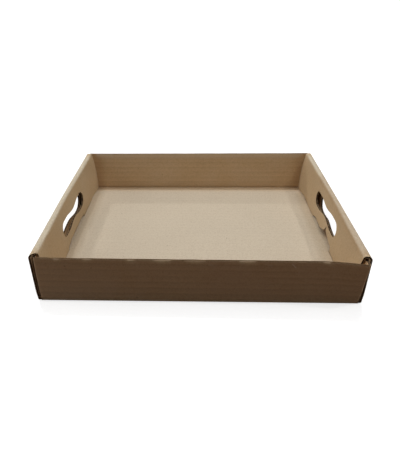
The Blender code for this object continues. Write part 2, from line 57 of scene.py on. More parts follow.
UPWARD_ATTRIBUTE = "upward"
SNAP = 0.05 * MM
TINY = 1e-12
WHITE = (1.0, 1.0, 1.0, 1.0)

Point = tuple[float, float]
Colour = tuple[float, float, float, float]
Socket = bpy.types.NodeSocket
Value = float | tuple | Socket
Inputs = dict[str | int, Value]


class Side(Enum):
    """The left and the right end of the tray, seen from the front."""

    LEFT = -1
    RIGHT = 1


class End(Enum):
    """The front and the back of the tray."""

    FRONT = -1
    BACK = 1


class Face(Enum):
    """The two faces of the blank: the inside is the floor's upper face."""

    OUTSIDE = -1
    INSIDE = 1


def smooth(value: float) -> float:
    """Return zero below 0, one above 1, and a smooth step between."""
    value = min(max(value, 0.0), 1.0)
    return value * value * (3 - 2 * value)


def swell(distance: float, reach: float) -> float:
    """Return one at no distance, falling smoothly to nothing at the reach."""
    return 0.5 + 0.5 * math.cos(math.pi * min(abs(distance) / reach, 1.0))


def steps(start: float, stop: float, count: int) -> list[float]:
    """Return evenly spaced places between two ends, with the ends."""
    return [start + (stop - start) * index / count for index in range(count + 1)]


def spaced(start: float, stop: float, spacing: float) -> list[float]:
    """Return places between two ends, no further apart than the spacing, without the ends."""
    count = max(1, math.ceil((stop - start) / spacing))
    return steps(start, stop, count)[1:-1]


def both(values: Iterable[float]) -> list[float]:
    """Return each value and its mirror image."""
    return [sign * value for value in values for sign in (-1, 1)]


def along(pieces: Sequence[Point], distance: float) -> tuple[float, float]:
    """Follow a line of straight and bent pieces.

    Args:
        pieces: the length of each piece and the angle that it turns through.
        distance: how far to go from the start.

    Returns:
        The place reached, along the first heading and across it.
    """
    run, rise, heading = 0.0, 0.0, 0.0
    last = len(pieces) - 1
    for index, (length, turn) in enumerate(pieces):
        step = distance if index == last else min(distance, length)
        if turn:
            radius = length / turn
            bend = step / radius
            run += radius * (math.sin(heading + bend) - math.sin(heading))
            rise += radius * (math.cos(heading) - math.cos(heading + bend))
            heading += bend
        else:
            run += step * math.cos(heading)
            rise += step * math.sin(heading)
        distance -= step
        if distance <= 0:
            break
    return run, rise


@dataclass(frozen=True)
class Board:
    """Single-wall corrugated board."""

    thickness: float = 2.8 * MM
    inside_radius: float = 0.3 * MM
    layer_gap: float = 0.3 * MM
    liner: float = 0.42 * MM
    medium: float = 0.22 * MM
    flute_pitch: float = 6.2 * MM
    crease_steps: int = 6

    @property
    def radius(self) -> float:
        """Radius of the middle of the board in a fold."""
        return self.thickness / 2 + self.inside_radius

    @property
    def bend(self) -> float:
        """Length of board that a square fold takes up."""
        return self.radius * QUARTER

    @property
    def level(self) -> float:
        """Height of the middle of the board where a fold from the floor ends."""
        return self.thickness / 2 + self.radius

    @property
    def stack(self) -> float:
        """Thickness of an end wall: two panels with a corner flap between them."""
        return 3 * self.thickness + 2 * self.layer_gap


BOARD = Board()


@dataclass(frozen=True)
class Tray:
    """The whole tray, measured outside at the bottom folds."""

    width: float = 408.0 * MM
    depth: float = 330.0 * MM
    height: float = 70.0 * MM
    flap_foot_gap: float = 1.0 * MM
    corner_cut: float = 0.3 * MM
    centre: tuple[float, float, float] = (0.149 * MM, -4.558 * MM, -0.004 * MM)

    @property
    def floor_x(self) -> float:
        """Half the flat floor's width."""
        return self.width / 2 - BOARD.level

    @property
    def floor_y(self) -> float:
        """Half the flat floor's depth."""
        return self.depth / 2 - BOARD.level

    @property
    def panel_y(self) -> float:
        """Half the outer end panel's length."""
        return self.depth / 2 - self.corner_cut

    @property
    def flap_plane(self) -> float:
        """How far out the middle of a corner flap lies."""
        return self.width / 2 - 1.5 * BOARD.thickness - BOARD.layer_gap

    @property
    def wall_x(self) -> float:
        """Half the flat part of the front and back walls."""
        return self.flap_plane - BOARD.radius

    @property
    def flap_foot(self) -> float:
        """Distance on the blank from the floor's fold to a flap's lower edge."""
        return BOARD.bend + BOARD.thickness + self.flap_foot_gap - BOARD.level

    @property
    def cut_line(self) -> float:
        """Where the cut between an end panel and the flaps lies on the blank."""
        return (self.panel_y + self.floor_y + self.flap_foot) / 2


TRAY = Tray()


@dataclass(frozen=True)
class Wall:
    """The front or the back wall, with the corner flap at each of its ends."""

    end: End
    drop: float
    lean: float
    skew: float
    flares: dict[Side, float]
    tucks: dict[Side, float]
    flare_reach: float = 60.0 * MM
    flap_length: float = 80.0 * MM
    flap_step: float = 3.4 * MM
    flap_shoulder: float = 6.0 * MM
    flap_taper: float = math.radians(22.0)
    flap_corner: float = 12.0 * MM
    flap_lean: float = 1.0 * MM
    flap_spring: float = 0.8 * MM
    flap_jog: float = 9.0 * MM
    lip_setback: float = 1.2 * MM

    @property
    def run(self) -> float:
        """Length of the wall on the blank, from the floor's fold to its top."""
        return BOARD.bend + TRAY.height - self.drop - BOARD.level

    def flap_outline(self) -> list[Point]:
        """Return the right flap's cut line.

        Returns:
            The points from the flap's foot, round its tip, to its step below the wall's top.
        """
        foot = TRAY.floor_y + TRAY.flap_foot
        wall_top = TRAY.floor_y + self.run
        top = wall_top - self.flap_step
        fold = TRAY.wall_x + BOARD.bend
        tip = fold + self.flap_length
        points = [
            (TRAY.wall_x, foot),
            (tip - self.flap_corner, foot),
            (tip, foot + self.flap_corner),
            (tip, top - self.flap_length * math.tan(self.flap_taper)),
        ]
        if self.end is End.FRONT:
            return points + [(fold + self.flap_shoulder, top), (fold, wall_top)]
        return points + [(fold, top), (TRAY.wall_x, top)]

    def outline(self) -> list[Point]:
        """Return the wall's cut line.

        Returns:
            The points from the left corner of the floor to the right one.
        """
        arc_end = TRAY.floor_y + BOARD.bend
        lip = TRAY.floor_x - self.lip_setback
        right = [(TRAY.floor_x, TRAY.floor_y), (lip, arc_end), (TRAY.wall_x, arc_end)]
        right += self.flap_outline()
        right += [(TRAY.wall_x, TRAY.floor_y + self.run)]
        left = [(-x, y) for x, y in right]
        return [(x, self.end.value * y) for x, y in left + right[::-1]]

    def lean_at(self, x: float) -> float:
        """Return how far the wall's top stands out at a place along it.

        Args:
            x: the place along the wall, to the right of its middle.

        Returns:
            The distance, with the flare near the wall's end in it.
        """
        flare = self.flares[Side.RIGHT if x > 0 else Side.LEFT]
        near_end = max(0.0, 1 - (TRAY.wall_x - abs(x)) / self.flare_reach) ** 2
        return self.lean + self.skew * x / TRAY.wall_x + flare * near_end

    def place(self, x: float, run: float) -> Vector:
        """Return where a point of the wall or of its flap goes.

        Args:
            x: the point's place along the wall, on the blank.
            run: its distance from the floor's fold, on the blank.

        Returns:
            The point in the middle of the folded board's thickness.
        """
        side = Side.RIGHT if x > 0 else Side.LEFT
        wall_x = min(abs(x), TRAY.flap_plane + BOARD.thickness / 2)
        on_flap = run > TRAY.flap_foot - SNAP and abs(x) > TRAY.wall_x
        if on_flap:
            wall_x = TRAY.wall_x
        lean = math.asin(self.lean_at(side.value * min(wall_x, TRAY.wall_x)) / (self.run - BOARD.bend))
        out, up = along(((BOARD.bend, QUARTER - lean), (self.run, 0)), run)
        y, z = TRAY.floor_y + out, BOARD.thickness / 2 + up
        inward, jog = 0.0, 0.0
        if on_flap:
            aside, inward = along(((BOARD.bend, QUARTER), (self.flap_length, 0)), abs(x) - TRAY.wall_x)
            wall_x += aside
            jog = smooth((inward - BOARD.radius) / self.flap_jog)
        y -= inward * math.cos(lean)
        z += inward * math.sin(lean)
        rise = z / TRAY.height
        tuck = self.tucks[side] * min(wall_x / TRAY.wall_x, 1.0) * rise * rise
        spring = self.flap_spring * (inward / self.flap_length) ** 2
        wall_x += self.flap_lean * rise * jog - tuck * (1 - jog) - spring
        return Vector((side.value * wall_x, self.end.value * y, z))


@dataclass(frozen=True)
class HandHole:
    """A hand hole's outline: round ends, a hump in its lower edge and a dip in its upper one."""

    length: float
    height: float
    hump: float = 5.5 * MM
    dip: float = 3.8 * MM
    waist: float = 34.0 * MM
    end_steps: int = 12
    side_steps: int = 18

    def outline(self) -> list[Point]:
        """Return the hole's outline about its own centre.

        Returns:
            The points, each as how far along the wall and how far up it lies.
        """
        radius = self.height / 2
        straight = self.length / 2 - radius
        low, far, high, near = [], [], [], []
        for step in range(self.side_steps):
            place = straight * (2 * step / self.side_steps - 1)
            low.append((place, -radius + self.hump * swell(place, self.waist)))
            high.append((-place, radius - self.dip * swell(place, self.waist)))
        for step in range(self.end_steps):
            angle = math.pi * step / self.end_steps - QUARTER
            far.append((straight + radius * math.cos(angle), radius * math.sin(angle)))
            near.append((-straight - radius * math.cos(angle), -radius * math.sin(angle)))
        return low + far + high + near


@dataclass(frozen=True)
class Tear:
    """The tear that runs up from the arch of the right inner panel."""

    place: float = -16.0 * MM
    top: float = 26.0 * MM
    lip: float = 19.3 * MM
    near_reach: float = 40.0 * MM
    far_reach: float = 26.0 * MM
    curl: float = 4.0 * MM
    width: float = 0.9 * MM
    lean: float = -2.6 * MM
    far_lift: float = 3.0 * MM
    near_sink: float = 1.6 * MM

    def line(self, height: float) -> float:
        """Return where the tear lies along the panel at a height."""
        share = (height - self.lip) / (self.top - self.lip)
        return self.place + self.lean * min(max(share, 0.0), 1.0)


@dataclass(frozen=True)
class Dent:
    """A place where an outer end panel is pushed in, or out where the depth is negative."""

    depth: float
    place: float
    front_reach: float
    back_reach: float


@dataclass(frozen=True)
class EndPanel:
    """An end panel: up the outside, over the corner flaps and down the inside to its tabs.

    The insets tell how far each end of the panel is cut back: at the outer top fold's inner side,
    at the top of the flat inner panel and at its foot.
    """

    side: Side
    near_insets: tuple[float, float, float]
    far_insets: tuple[float, float, float]
    outer_centre: float
    inner_centre: float
    outer_bow: float
    inner_bow: float
    dents: tuple[Dent, ...]
    tear: Tear | None = None
    outer_hole: HandHole = HandHole(115.0 * MM, 29.0 * MM)
    inner_hole: HandHole = HandHole(117.0 * MM, 23.5 * MM)
    foot_inset: float = 2.4 * MM
    foot_gap: float = 0.3 * MM
    spread: float = 1.0 * MM
    spread_height: float = 18.0 * MM
    squeeze: float = 2.0 * MM
    squeeze_reach: float = 120.0 * MM
    bow_place: float = 25.0 * MM
    bulge: float = 4.2 * MM
    bulge_start: float = 118.0 * MM
    bulge_length: float = 40.0 * MM
    bulge_share: float = 0.33
    tab_start: float = 52.0 * MM
    tab_length: float = 61.0 * MM
    tab_corner: float = 1.2 * MM
    slot_gap: float = 0.4 * MM
    slot_overrun: float = 0.5 * MM
    arch_rise: float = 6.4 * MM
    arch_steps: int = 24

    @property
    def roll_flat(self) -> float:
        """Length of the flat strip along the top."""
        return BOARD.stack - BOARD.thickness - 2 * BOARD.radius

    @property
    def inner_drop(self) -> float:
        """Height of the flat part of the inner panel."""
        return TRAY.height - BOARD.level - BOARD.thickness - self.foot_gap

    @property
    def slant(self) -> float:
        """Angle at which the inner panel's foot stands further in."""
        return math.atan(self.foot_inset / self.inner_drop)

    @property
    def inner_bend(self) -> float:
        """Length of board in the inner top fold."""
        return BOARD.radius * (QUARTER - self.slant)

    @property
    def roll_start(self) -> float:
        """Distance on the blank from the floor's fold to the outer top fold."""
        return BOARD.bend + TRAY.height - 2 * BOARD.level

    @property
    def inner_start(self) -> float:
        """Distance on the blank from the floor's fold to the top of the flat inner panel."""
        return self.roll_start + BOARD.bend + self.roll_flat + self.inner_bend

    @property
    def foot_run(self) -> float:
        """Distance on the blank from the floor's fold to the inner panel's foot."""
        return self.inner_start + self.inner_drop / math.cos(self.slant)

    @property
    def line(self) -> tuple[Point, ...]:
        """The panel's line in section.

        Returns:
            Its pieces from the floor's fold to its foot, each as a length and a turn.
        """
        return (
            (BOARD.bend, QUARTER),
            (TRAY.height - 2 * BOARD.level, 0.0),
            (BOARD.bend, QUARTER),
            (self.roll_flat, 0.0),
            (self.inner_bend, QUARTER - self.slant),
            (self.inner_drop, 0.0),
        )

    def outer_run(self, height: float) -> float:
        """Return the distance on the blank from the floor's fold to a height on the outer panel."""
        return BOARD.bend + height - BOARD.level

    def inner_run(self, height: float) -> float:
        """Return the distance on the blank from the floor's fold to a height on the inner panel."""
        return self.foot_run - (height - BOARD.thickness - self.foot_gap) / math.cos(self.slant)

    def slot_centre(self) -> float:
        """Return how far from the middle of the floor the tabs' slots lie."""
        depth = BOARD.thickness / math.cos(self.slant)
        return TRAY.floor_x + along(self.line, self.foot_run + depth / 2)[0]

    def arch_height(self, place: float) -> float:
        """Return the height of the panel's lower edge between its tabs.

        Args:
            place: how far along the panel, to the back of its middle.

        Returns:
            The height over the tray's base, which is greater beside the tear.
        """
        base = BOARD.thickness + self.foot_gap
        share = min(abs(place) / self.tab_start, 1.0)
        height = base + self.arch_rise * math.sqrt(1 - share**4)
        if not self.tear:
            return height
        away = place - self.tear.place
        reach = self.tear.far_reach if away > 0 else self.tear.near_reach
        sweep = math.sqrt(min(abs(away) / reach, 1.0))
        torn = self.tear.lip + (base + self.arch_rise - self.tear.lip) * sweep
        return torn if sweep < 1 else height

    def arch_outline(self) -> list[Point]:
        """Return the lower edge between the tabs, with the tear.

        Returns:
            The points from front to back, each as how far along and how high it lies.
        """
        points = []
        for step in range(1, self.arch_steps):
            place = self.tab_start * math.sin(QUARTER * (2 * step / self.arch_steps - 1))
            points.append((place, self.arch_height(place)))
        if not self.tear:
            return points
        tear = self.tear
        low, high = tear.place - tear.curl, tear.place + tear.curl
        slit = [
            (low, self.arch_height(low)),
            (tear.place - tear.width / 2, tear.lip),
            (tear.place + tear.lean, tear.top),
            (tear.place + tear.width / 2, tear.lip),
            (high, self.arch_height(high)),
        ]
        near = [point for point in points if point[0] < low]
        far = [point for point in points if point[0] > high]
        return near + slit + far

    def tab_outline(self, start: float, stop: float) -> list[Point]:
        """Return one locking tab's cut line.

        Args:
            start: where it starts along the foot.
            stop: where it stops.

        Returns:
            The points, each as a distance from the floor's fold and a place along the panel.
        """
        step = math.copysign(self.tab_corner, stop - start)
        tip = self.foot_run + BOARD.thickness / math.cos(self.slant)
        return [
            (self.foot_run, start),
            (tip - self.tab_corner, start),
            (tip, start + step),
            (tip, stop - step),
            (tip - self.tab_corner, stop),
            (self.foot_run, stop),
        ]

    def outline(self) -> list[Point]:
        """Return the panel's cut line.

        Returns:
            The points from the panel's front corner to its back corner.
        """
        half = TRAY.depth / 2
        over = self.roll_start + BOARD.bend
        stop = self.tab_start + self.tab_length
        near, far = self.near_insets, self.far_insets
        runs = [
            (0.0, -TRAY.floor_y),
            (BOARD.bend, -TRAY.panel_y),
            (self.roll_start, -TRAY.panel_y),
            (over, -half + near[0]),
            (self.inner_start, -half + near[1]),
            (self.foot_run, -half + near[2]),
        ]
        runs += self.tab_outline(-stop, -self.tab_start)
        runs += [(self.inner_run(height), place) for place, height in self.arch_outline()]
        runs += self.tab_outline(self.tab_start, stop)
        runs += [
            (self.foot_run, half - far[2]),
            (self.inner_start, half - far[1]),
            (over, half - far[0]),
            (self.roll_start, TRAY.panel_y),
            (BOARD.bend, TRAY.panel_y),
        ]
        return [(self.side.value * (TRAY.floor_x + run), y) for run, y in runs]

    def cutouts(self) -> list[list[Point]]:
        """Return what is cut out of the panel and of the floor beside it.

        Returns:
            The outlines of the hand hole in each layer and of the two slots in the floor.
        """
        outer = TRAY.floor_x + self.outer_run(self.outer_centre)
        inner = TRAY.floor_x + self.inner_run(self.inner_centre)
        side = self.side.value
        outlines = [
            [(side * (outer + rise), place) for place, rise in self.outer_hole.outline()],
            [(side * (inner - rise), place) for place, rise in self.inner_hole.outline()],
        ]
        centre = self.slot_centre()
        half = BOARD.thickness / 2 / math.cos(self.slant) + self.slot_gap
        start = self.tab_start - self.slot_overrun
        stop = self.tab_start + self.tab_length + self.slot_overrun
        for end in End:
            corners = [(-half, start), (half, start), (half, stop), (-half, stop)]
            outlines.append([(side * (centre + dx), end.value * y) for dx, y in corners])
        return outlines

    def middle_share(self, z: float) -> float:
        """Return one half-way up the panel, falling to nothing at the floor and at the top."""
        return swell(z - TRAY.height / 2, (TRAY.height - BOARD.thickness) / 2)

    def outer_drift(self, y: float, z: float) -> float:
        """Return how far the outer panel stands in from its true plane.

        Args:
            y: the place along the panel.
            z: the height over the tray's base.

        Returns:
            The distance, from the panel's dents, bow and spread.
        """
        pushed = 0.0
        for dent in self.dents:
            reach = dent.front_reach if y < dent.place else dent.back_reach
            pushed += dent.depth * swell(y - dent.place, reach) * self.middle_share(z)
        bow = self.outer_bow * swell(y, TRAY.depth / 2) * z / TRAY.height
        return pushed - bow - self.spread * smooth(z / self.spread_height)

    def inner_drift(self, y: float, z: float) -> float:
        """Return how far the inner panel stands in from its true plane.

        Args:
            y: the place along the panel.
            z: the height over the tray's base.

        Returns:
            The distance, from the panel's bulges, spread, squeeze and bow, and the tear.
        """
        share = z / TRAY.height
        level = max(0.0, 1 - ((share - self.bulge_share) / (1 - self.bulge_share)) ** 2)
        drift = self.bulge * smooth((abs(y) - self.bulge_start) / self.bulge_length) * level
        drift -= self.spread * share
        drift -= self.squeeze * swell(y, self.squeeze_reach) * max(share, 0.0) ** 3
        drift += self.inner_bow * swell(y - self.bow_place, self.squeeze_reach) * self.middle_share(z)
        if self.tear:
            low = max(0.0, 1 - z / self.tear.top)
            slit = self.tear.line(z)
            if y > slit:
                share = (self.tab_start - y) / (self.tab_start - slit)
                drift += self.tear.far_lift * low * smooth(share)
            else:
                share = (self.tab_start + y) / (self.tab_start + slit)
                drift -= self.tear.near_sink * low * smooth(share)
        return drift

    def place(self, y: float, run: float) -> Vector:
        """Return where a point of the panel goes.

        Args:
            y: the point's place along the panel.
            run: its distance from the floor's fold, on the blank.

        Returns:
            The point in the middle of the folded board's thickness.
        """
        out, up = along(self.line, run)
        x, z = TRAY.floor_x + out, BOARD.thickness / 2 + up
        share = min(max((run - self.roll_start - BOARD.bend) / self.roll_flat, 0.0), 1.0)
        drift = (1 - share) * self.outer_drift(y, z) + share * self.inner_drift(y, z)
        return Vector((self.side.value * (x - drift), y, z))


@dataclass(frozen=True)
class Score:
    """A line across the blank along which it is cut into faces that can bend."""

    axis: int
    places: list[float]
    inside: Callable[[Vector], bool]


@dataclass(frozen=True)
class Mark:
    """A speck, a scratch, a rubbed streak or broad painted shade or light: a stroke on one face of the
    blank.

    It is strongest within its core and fades out towards its reach, which are shares of its width.
    """

    start: Point
    end: Point
    width: float
    colour: Colour
    strength: float = 0.5
    core_share: float = 0.5
    reach_share: float = 1.3


# Pale loose fibres, and painted light where a mark is broad.
PALE_FIBRE_AND_LIGHT = (0.80, 0.72, 0.58, 1.0)
# Dark fibres, and painted shade where a mark is broad.
DARK_FIBRE_AND_SHADE = (0.13, 0.07, 0.035, 1.0)
# The colour of painted shade.
SHADE_BROWN = (0.34, 0.18, 0.08, 1.0)
RUBBED = (0.74, 0.56, 0.38, 1.0)
SHADED = (0.26, 0.21, 0.13, 1.0)
SCRATCHED = (0.42, 0.24, 0.11, 1.0)


@dataclass(frozen=True)
class Crush:
    """A place on the front wall's top edge where the board is pressed thin and its paper rubbed."""

    place: float
    length: float
    depth: float = 1.0 * MM
    reach: float = 1.9 * MM
    mark_inset: float = 2.0 * MM
    mark_drop: float = 0.15 * MM
    mark_width: float = 0.7 * MM
    mark_strength: float = 0.6

    def mark(self, blank: "Blank") -> Mark:
        """Return the pale mark that the rubbing leaves just below the edge.

        Args:
            blank: the blank that the edge is on.

        Returns:
            The mark, a little shorter than the crushed place.
        """
        half = self.length / 2 - self.mark_inset
        level = self.mark_drop - blank.front_gap(0.0)
        ends = (self.place - half, level), (self.place + half, level)
        return Mark(*ends, self.mark_width, RUBBED, self.mark_strength)


@dataclass(frozen=True)
class RubbedEdge:
    """The rubbing along the front wall's top edge, which is plainest where the edge is crushed."""

    crushes: tuple[Crush, ...]
    half_length: float = 190.0 * MM
    drop: float = 0.1 * MM
    width: float = 0.9 * MM
    strength: float = 0.28

    def marks(self, blank: "Blank") -> tuple[Mark, ...]:
        """Return the marks that the rubbing leaves.

        Args:
            blank: the blank that the edge is on.

        Returns:
            A mark for each crushed place, and then a faint one along the whole edge.
        """
        level = self.drop - blank.front_gap(0.0)
        ends = (-self.half_length, level), (self.half_length, level)
        faint = Mark(*ends, self.width, RUBBED, self.strength)
        return (*(crush.mark(blank) for crush in self.crushes), faint)


@dataclass
class Blank:
    """The die-cut blank: its outlines, its scores and where each point of it goes."""

    walls: dict[End, Wall]
    panels: dict[Side, EndPanel]
    crushes: tuple[Crush, ...]
    panel_score: float = 7.0 * MM
    wall_score: float = 9.0 * MM
    edge_rows: tuple[float, ...] = (0.9 * MM, 1.9 * MM)
    row_margin: float = 1.5 * MM
    jog_length: float = 9.0 * MM
    jog_score: float = 2.0 * MM
    front_top_roughness: float = 0.40 * MM
    back_top_roughness: float = 0.24 * MM
    edge_roughness: float = 0.11 * MM
    top_margin: float = 1.0 * MM
    nick_size: float = 0.6
    nick_scale: float = 0.45
    wave_size: float = 0.8
    wave_scale: float = 0.06
    highest_wave: float = 0.1
    facing_step: float = 0.03 * MM
    row_shares: tuple[float, ...] = (-1.4, -1.0, -0.8, -0.65, -0.3, 0.0, 0.25, 0.65, 0.8, 1.0, 1.4)

    def outlines(self) -> list[list[Point]]:
        """Return every line that the blank is cut along.

        Returns:
            The outline of the blank, and then each hole and slot in it.
        """
        outer = self.panels[Side.RIGHT].outline()
        outer += self.walls[End.BACK].outline()[::-1]
        outer += self.panels[Side.LEFT].outline()[::-1][:-1]
        outer += self.walls[End.FRONT].outline()[:-1]
        outlines = [outer]
        for panel in self.panels.values():
            outlines += panel.cutouts()
        return outlines

    def front_gap(self, y: float) -> float:
        """Return how far a point of the blank lies below the front wall's cut top edge."""
        return y + TRAY.floor_y + self.walls[End.FRONT].run

    def crushed(self, x: float, y: float) -> float:
        """Return how much thinner than it should be the board is at a point.

        Args:
            x: the point's place on the blank, to the right of its middle.
            y: its place to the back of the middle.

        Returns:
            The thickness lost, which is zero away from the crushed places.
        """
        lost = 0.0
        gap = self.front_gap(y)
        for crush in self.crushes:
            if gap < crush.reach and abs(x - crush.place) < crush.length / 2:
                along_edge = 1 - (2 * abs(x - crush.place) / crush.length) ** 4
                lost = max(lost, crush.depth * along_edge * (1 - max(gap, 0.0) / crush.reach))
        return lost

    def roughness_at(self, x: float, y: float) -> float:
        """Return how ragged a cut edge is: the front wall's top edge is the worst.

        Args:
            x: the point's place on the blank, to the right of its middle.
            y: its place to the back of the middle.

        Returns:
            About how far the edge strays from its line.
        """
        top = TRAY.floor_y + self.walls[End.BACK].run
        if self.front_gap(y) < self.top_margin:
            return self.front_top_roughness
        return self.back_top_roughness if y > top - self.top_margin else self.edge_roughness

    def ragged(self, points: list[Point], seed: float, spacing: float = 1.6 * MM) -> list[Point]:
        """Return an outline with a die-cut edge's small waves and nicks.

        Args:
            points: the corners of a closed outline.
            seed: picks the pattern of waves, which is the same each time.
            spacing: about how far apart the points of the result lie.

        Returns:
            The closed outline, with its corners where they were.
        """
        kept = [points[0]]
        for point in points[1:]:
            if math.dist(point, kept[-1]) > SNAP:
                kept.append(point)
        if math.dist(kept[0], kept[-1]) <= SNAP:
            kept.pop()
        result = []
        for (x0, y0), (x1, y1) in zip(kept, kept[1:] + kept[:1]):
            length = math.dist((x0, y0), (x1, y1))
            across = ((y1 - y0) / length, -(x1 - x0) / length)
            count = max(1, round(length / spacing))
            for index in range(count):
                share = index / count
                x, y = x0 + (x1 - x0) * share, y0 + (y1 - y0) * share
                spot = Vector((x, y, seed * MM)) / MM
                wave = self.nick_size * noise.noise(spot * self.nick_scale)
                wave += self.wave_size * noise.noise(spot * self.wave_scale)
                wave = min(wave, self.highest_wave)
                shift = self.roughness_at(x, y) * wave if index else 0.0
                result.append((x + across[0] * shift, y + across[1] * shift))
        return result

    def place(self, x: float, y: float) -> Vector:
        """Return where a point of the flat blank goes when it is folded.

        Args:
            x: the point's place on the blank, to the right of its middle.
            y: its place to the back of the middle.

        Returns:
            The point in the middle of the board's thickness, with the tray centred on its base.
        """
        side = Side.RIGHT if x > 0 else Side.LEFT
        end = End.BACK if y > 0 else End.FRONT
        if abs(x) > TRAY.floor_x and abs(y) < TRAY.cut_line:
            point = self.panels[side].place(y, abs(x) - TRAY.floor_x)
        elif abs(y) > TRAY.floor_y:
            point = self.walls[end].place(x, abs(y) - TRAY.floor_y)
        else:
            point = Vector((x, y, BOARD.thickness / 2))
        return point - Vector(TRAY.centre)

    def facing(self, x: float, y: float) -> Vector:
        """Return which way the folded sheet faces at a point.

        Args:
            x: the point's place on the blank, to the right of its middle.
            y: its place to the back of the middle.

        Returns:
            The direction out of the blank's inside face.
        """
        step = self.facing_step
        ahead = self.place(x + step, y) - self.place(x - step, y)
        aside = self.place(x, y + step) - self.place(x, y - step)
        return ahead.cross(aside).normalized()

    def end_rows(self, panel: EndPanel) -> list[float]:
        """Return where a panel is scored across, at its folds and hand holes.

        Args:
            panel: the end panel.

        Returns:
            The distance of each score from the floor's fold, on the blank.
        """
        runs = steps(0.0, BOARD.bend, BOARD.crease_steps)[1:]
        runs += steps(panel.roll_start, panel.roll_start + BOARD.bend, BOARD.crease_steps)
        runs += steps(panel.inner_start - panel.inner_bend, panel.inner_start, BOARD.crease_steps)
        runs += [panel.foot_run]
        outer, inner = panel.outer_run(panel.outer_centre), panel.inner_run(panel.inner_centre)
        spans = (
            (outer, panel.outer_hole.height, BOARD.bend, panel.roll_start),
            (inner, panel.inner_hole.height, panel.inner_start, panel.foot_run),
        )
        for centre, height, start, stop in spans:
            rows = [centre + height * share for share in self.row_shares]
            low, high = start + self.row_margin, stop - self.row_margin
            runs += [row for row in rows if low < row < high]
        return runs

    def scores(self) -> list[Score]:
        """Return every crease, and the lines along which the walls and panels bow.

        Returns:
            The scores, in the order in which they are cut.
        """
        floor_x, floor_y, wall_x, cut = TRAY.floor_x, TRAY.floor_y, TRAY.wall_x, TRAY.cut_line
        bend, count = BOARD.bend, BOARD.crease_steps
        wall_lines = spaced(-wall_x, wall_x, self.wall_score)
        wall_top = floor_y + max(wall.run for wall in self.walls.values())
        front_top = floor_y + self.walls[End.FRONT].run
        flap = wall_x + bend
        jog = flap + self.jog_length
        flap_tip = flap + max(wall.flap_length for wall in self.walls.values())

        def middle(spot: Vector) -> bool:
            """Tell whether a point is on the floor, an end panel or a wall's lowest strip."""
            return abs(spot.y) < cut

        def floor_strip(spot: Vector) -> bool:
            """Tell whether a point is on the floor or a wall's lowest strip."""
            return abs(spot.y) < cut and abs(spot.x) < floor_x

        def foot(spot: Vector) -> bool:
            """Tell whether a point is on a wall's lowest strip."""
            return floor_y < abs(spot.y) < cut and abs(spot.x) < floor_x

        def walls(spot: Vector) -> bool:
            """Tell whether a point is on a wall or a flap."""
            return abs(spot.y) > cut

        def wall(spot: Vector) -> bool:
            """Tell whether a point is on a wall, and not on a flap."""
            return abs(spot.y) > cut and abs(spot.x) < wall_x

        def flaps(spot: Vector) -> bool:
            """Tell whether a point is on a flap."""
            return abs(spot.y) > cut and abs(spot.x) > wall_x

        scores = [
            Score(1, both([cut]), lambda spot: True),
            Score(0, both([floor_x]), middle),
            Score(1, both([floor_y]), floor_strip),
            Score(1, both(steps(floor_y, floor_y + bend, count)[1:]), foot),
            Score(0, wall_lines + both([wall_x]), foot),
            Score(1, [drop - front_top for drop in self.edge_rows], wall),
            Score(0, both([wall_x]), walls),
            Score(0, wall_lines, wall),
            Score(1, both(spaced(cut, wall_top, self.wall_score)), walls),
            Score(0, both(steps(wall_x, flap, count)[1:]), flaps),
            Score(0, both(spaced(flap, jog, self.jog_score)), flaps),
            Score(0, both(spaced(jog, flap_tip, self.wall_score)), flaps),
        ]
        for side, panel in self.panels.items():
            scores.append(Score(0, self.panel_lines(side), self.panel_test(side)))
        lines = spaced(-TRAY.panel_y, TRAY.panel_y, self.panel_score)
        scores.append(Score(1, lines, lambda spot: middle(spot) and abs(spot.x) > floor_x))
        return scores

    def panel_lines(self, side: Side) -> list[float]:
        """Return where one end's scores lie on the blank."""
        return [side.value * (TRAY.floor_x + run) for run in self.end_rows(self.panels[side])]

    def panel_test(self, side: Side) -> Callable[[Vector], bool]:
        """Return a test for points of one end panel."""
        return lambda spot: abs(spot.y) < TRAY.cut_line and spot.x * side.value > TRAY.floor_x


def new_object(name: str, data: bpy.types.ID) -> bpy.types.Object:
    """Add an object to the scene.

    Args:
        name: the object's name.
        data: the mesh, curve, lamp or camera that it shows.

    Returns:
        The new object.
    """
    item = bpy.data.objects.new(name, data)
    bpy.context.scene.collection.objects.link(item)
    return item


def keep_blank_places(mesh: bpy.types.Mesh, places: Sequence[Sequence[float]]) -> None:
    """Give each point of a mesh its place on the flat blank, for the materials and the fluting."""
    layer = mesh.attributes.new(BLANK_ATTRIBUTE, "FLOAT_VECTOR", "POINT")
    layer.data.foreach_set("vector", np.array(places, np.float32).ravel())


def plain_mesh(item: bpy.types.Object) -> None:
    """Replace an object's mesh by what its modifiers make of it, and remove them.

    Args:
        item: the object.
    """
    bpy.context.view_layer.update()
    graph = bpy.context.evaluated_depsgraph_get()
    mesh = bpy.data.meshes.new_from_object(
        item.evaluated_get(graph), preserve_all_data_layers=True, depsgraph=graph
    )
    item.modifiers.clear()
    item.data = mesh
    mesh.name = item.name


def put_in_place(item: bpy.types.Object) -> None:
    """Make an object ride on the tray's one body, with the record's slot."""
    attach(item, "root")


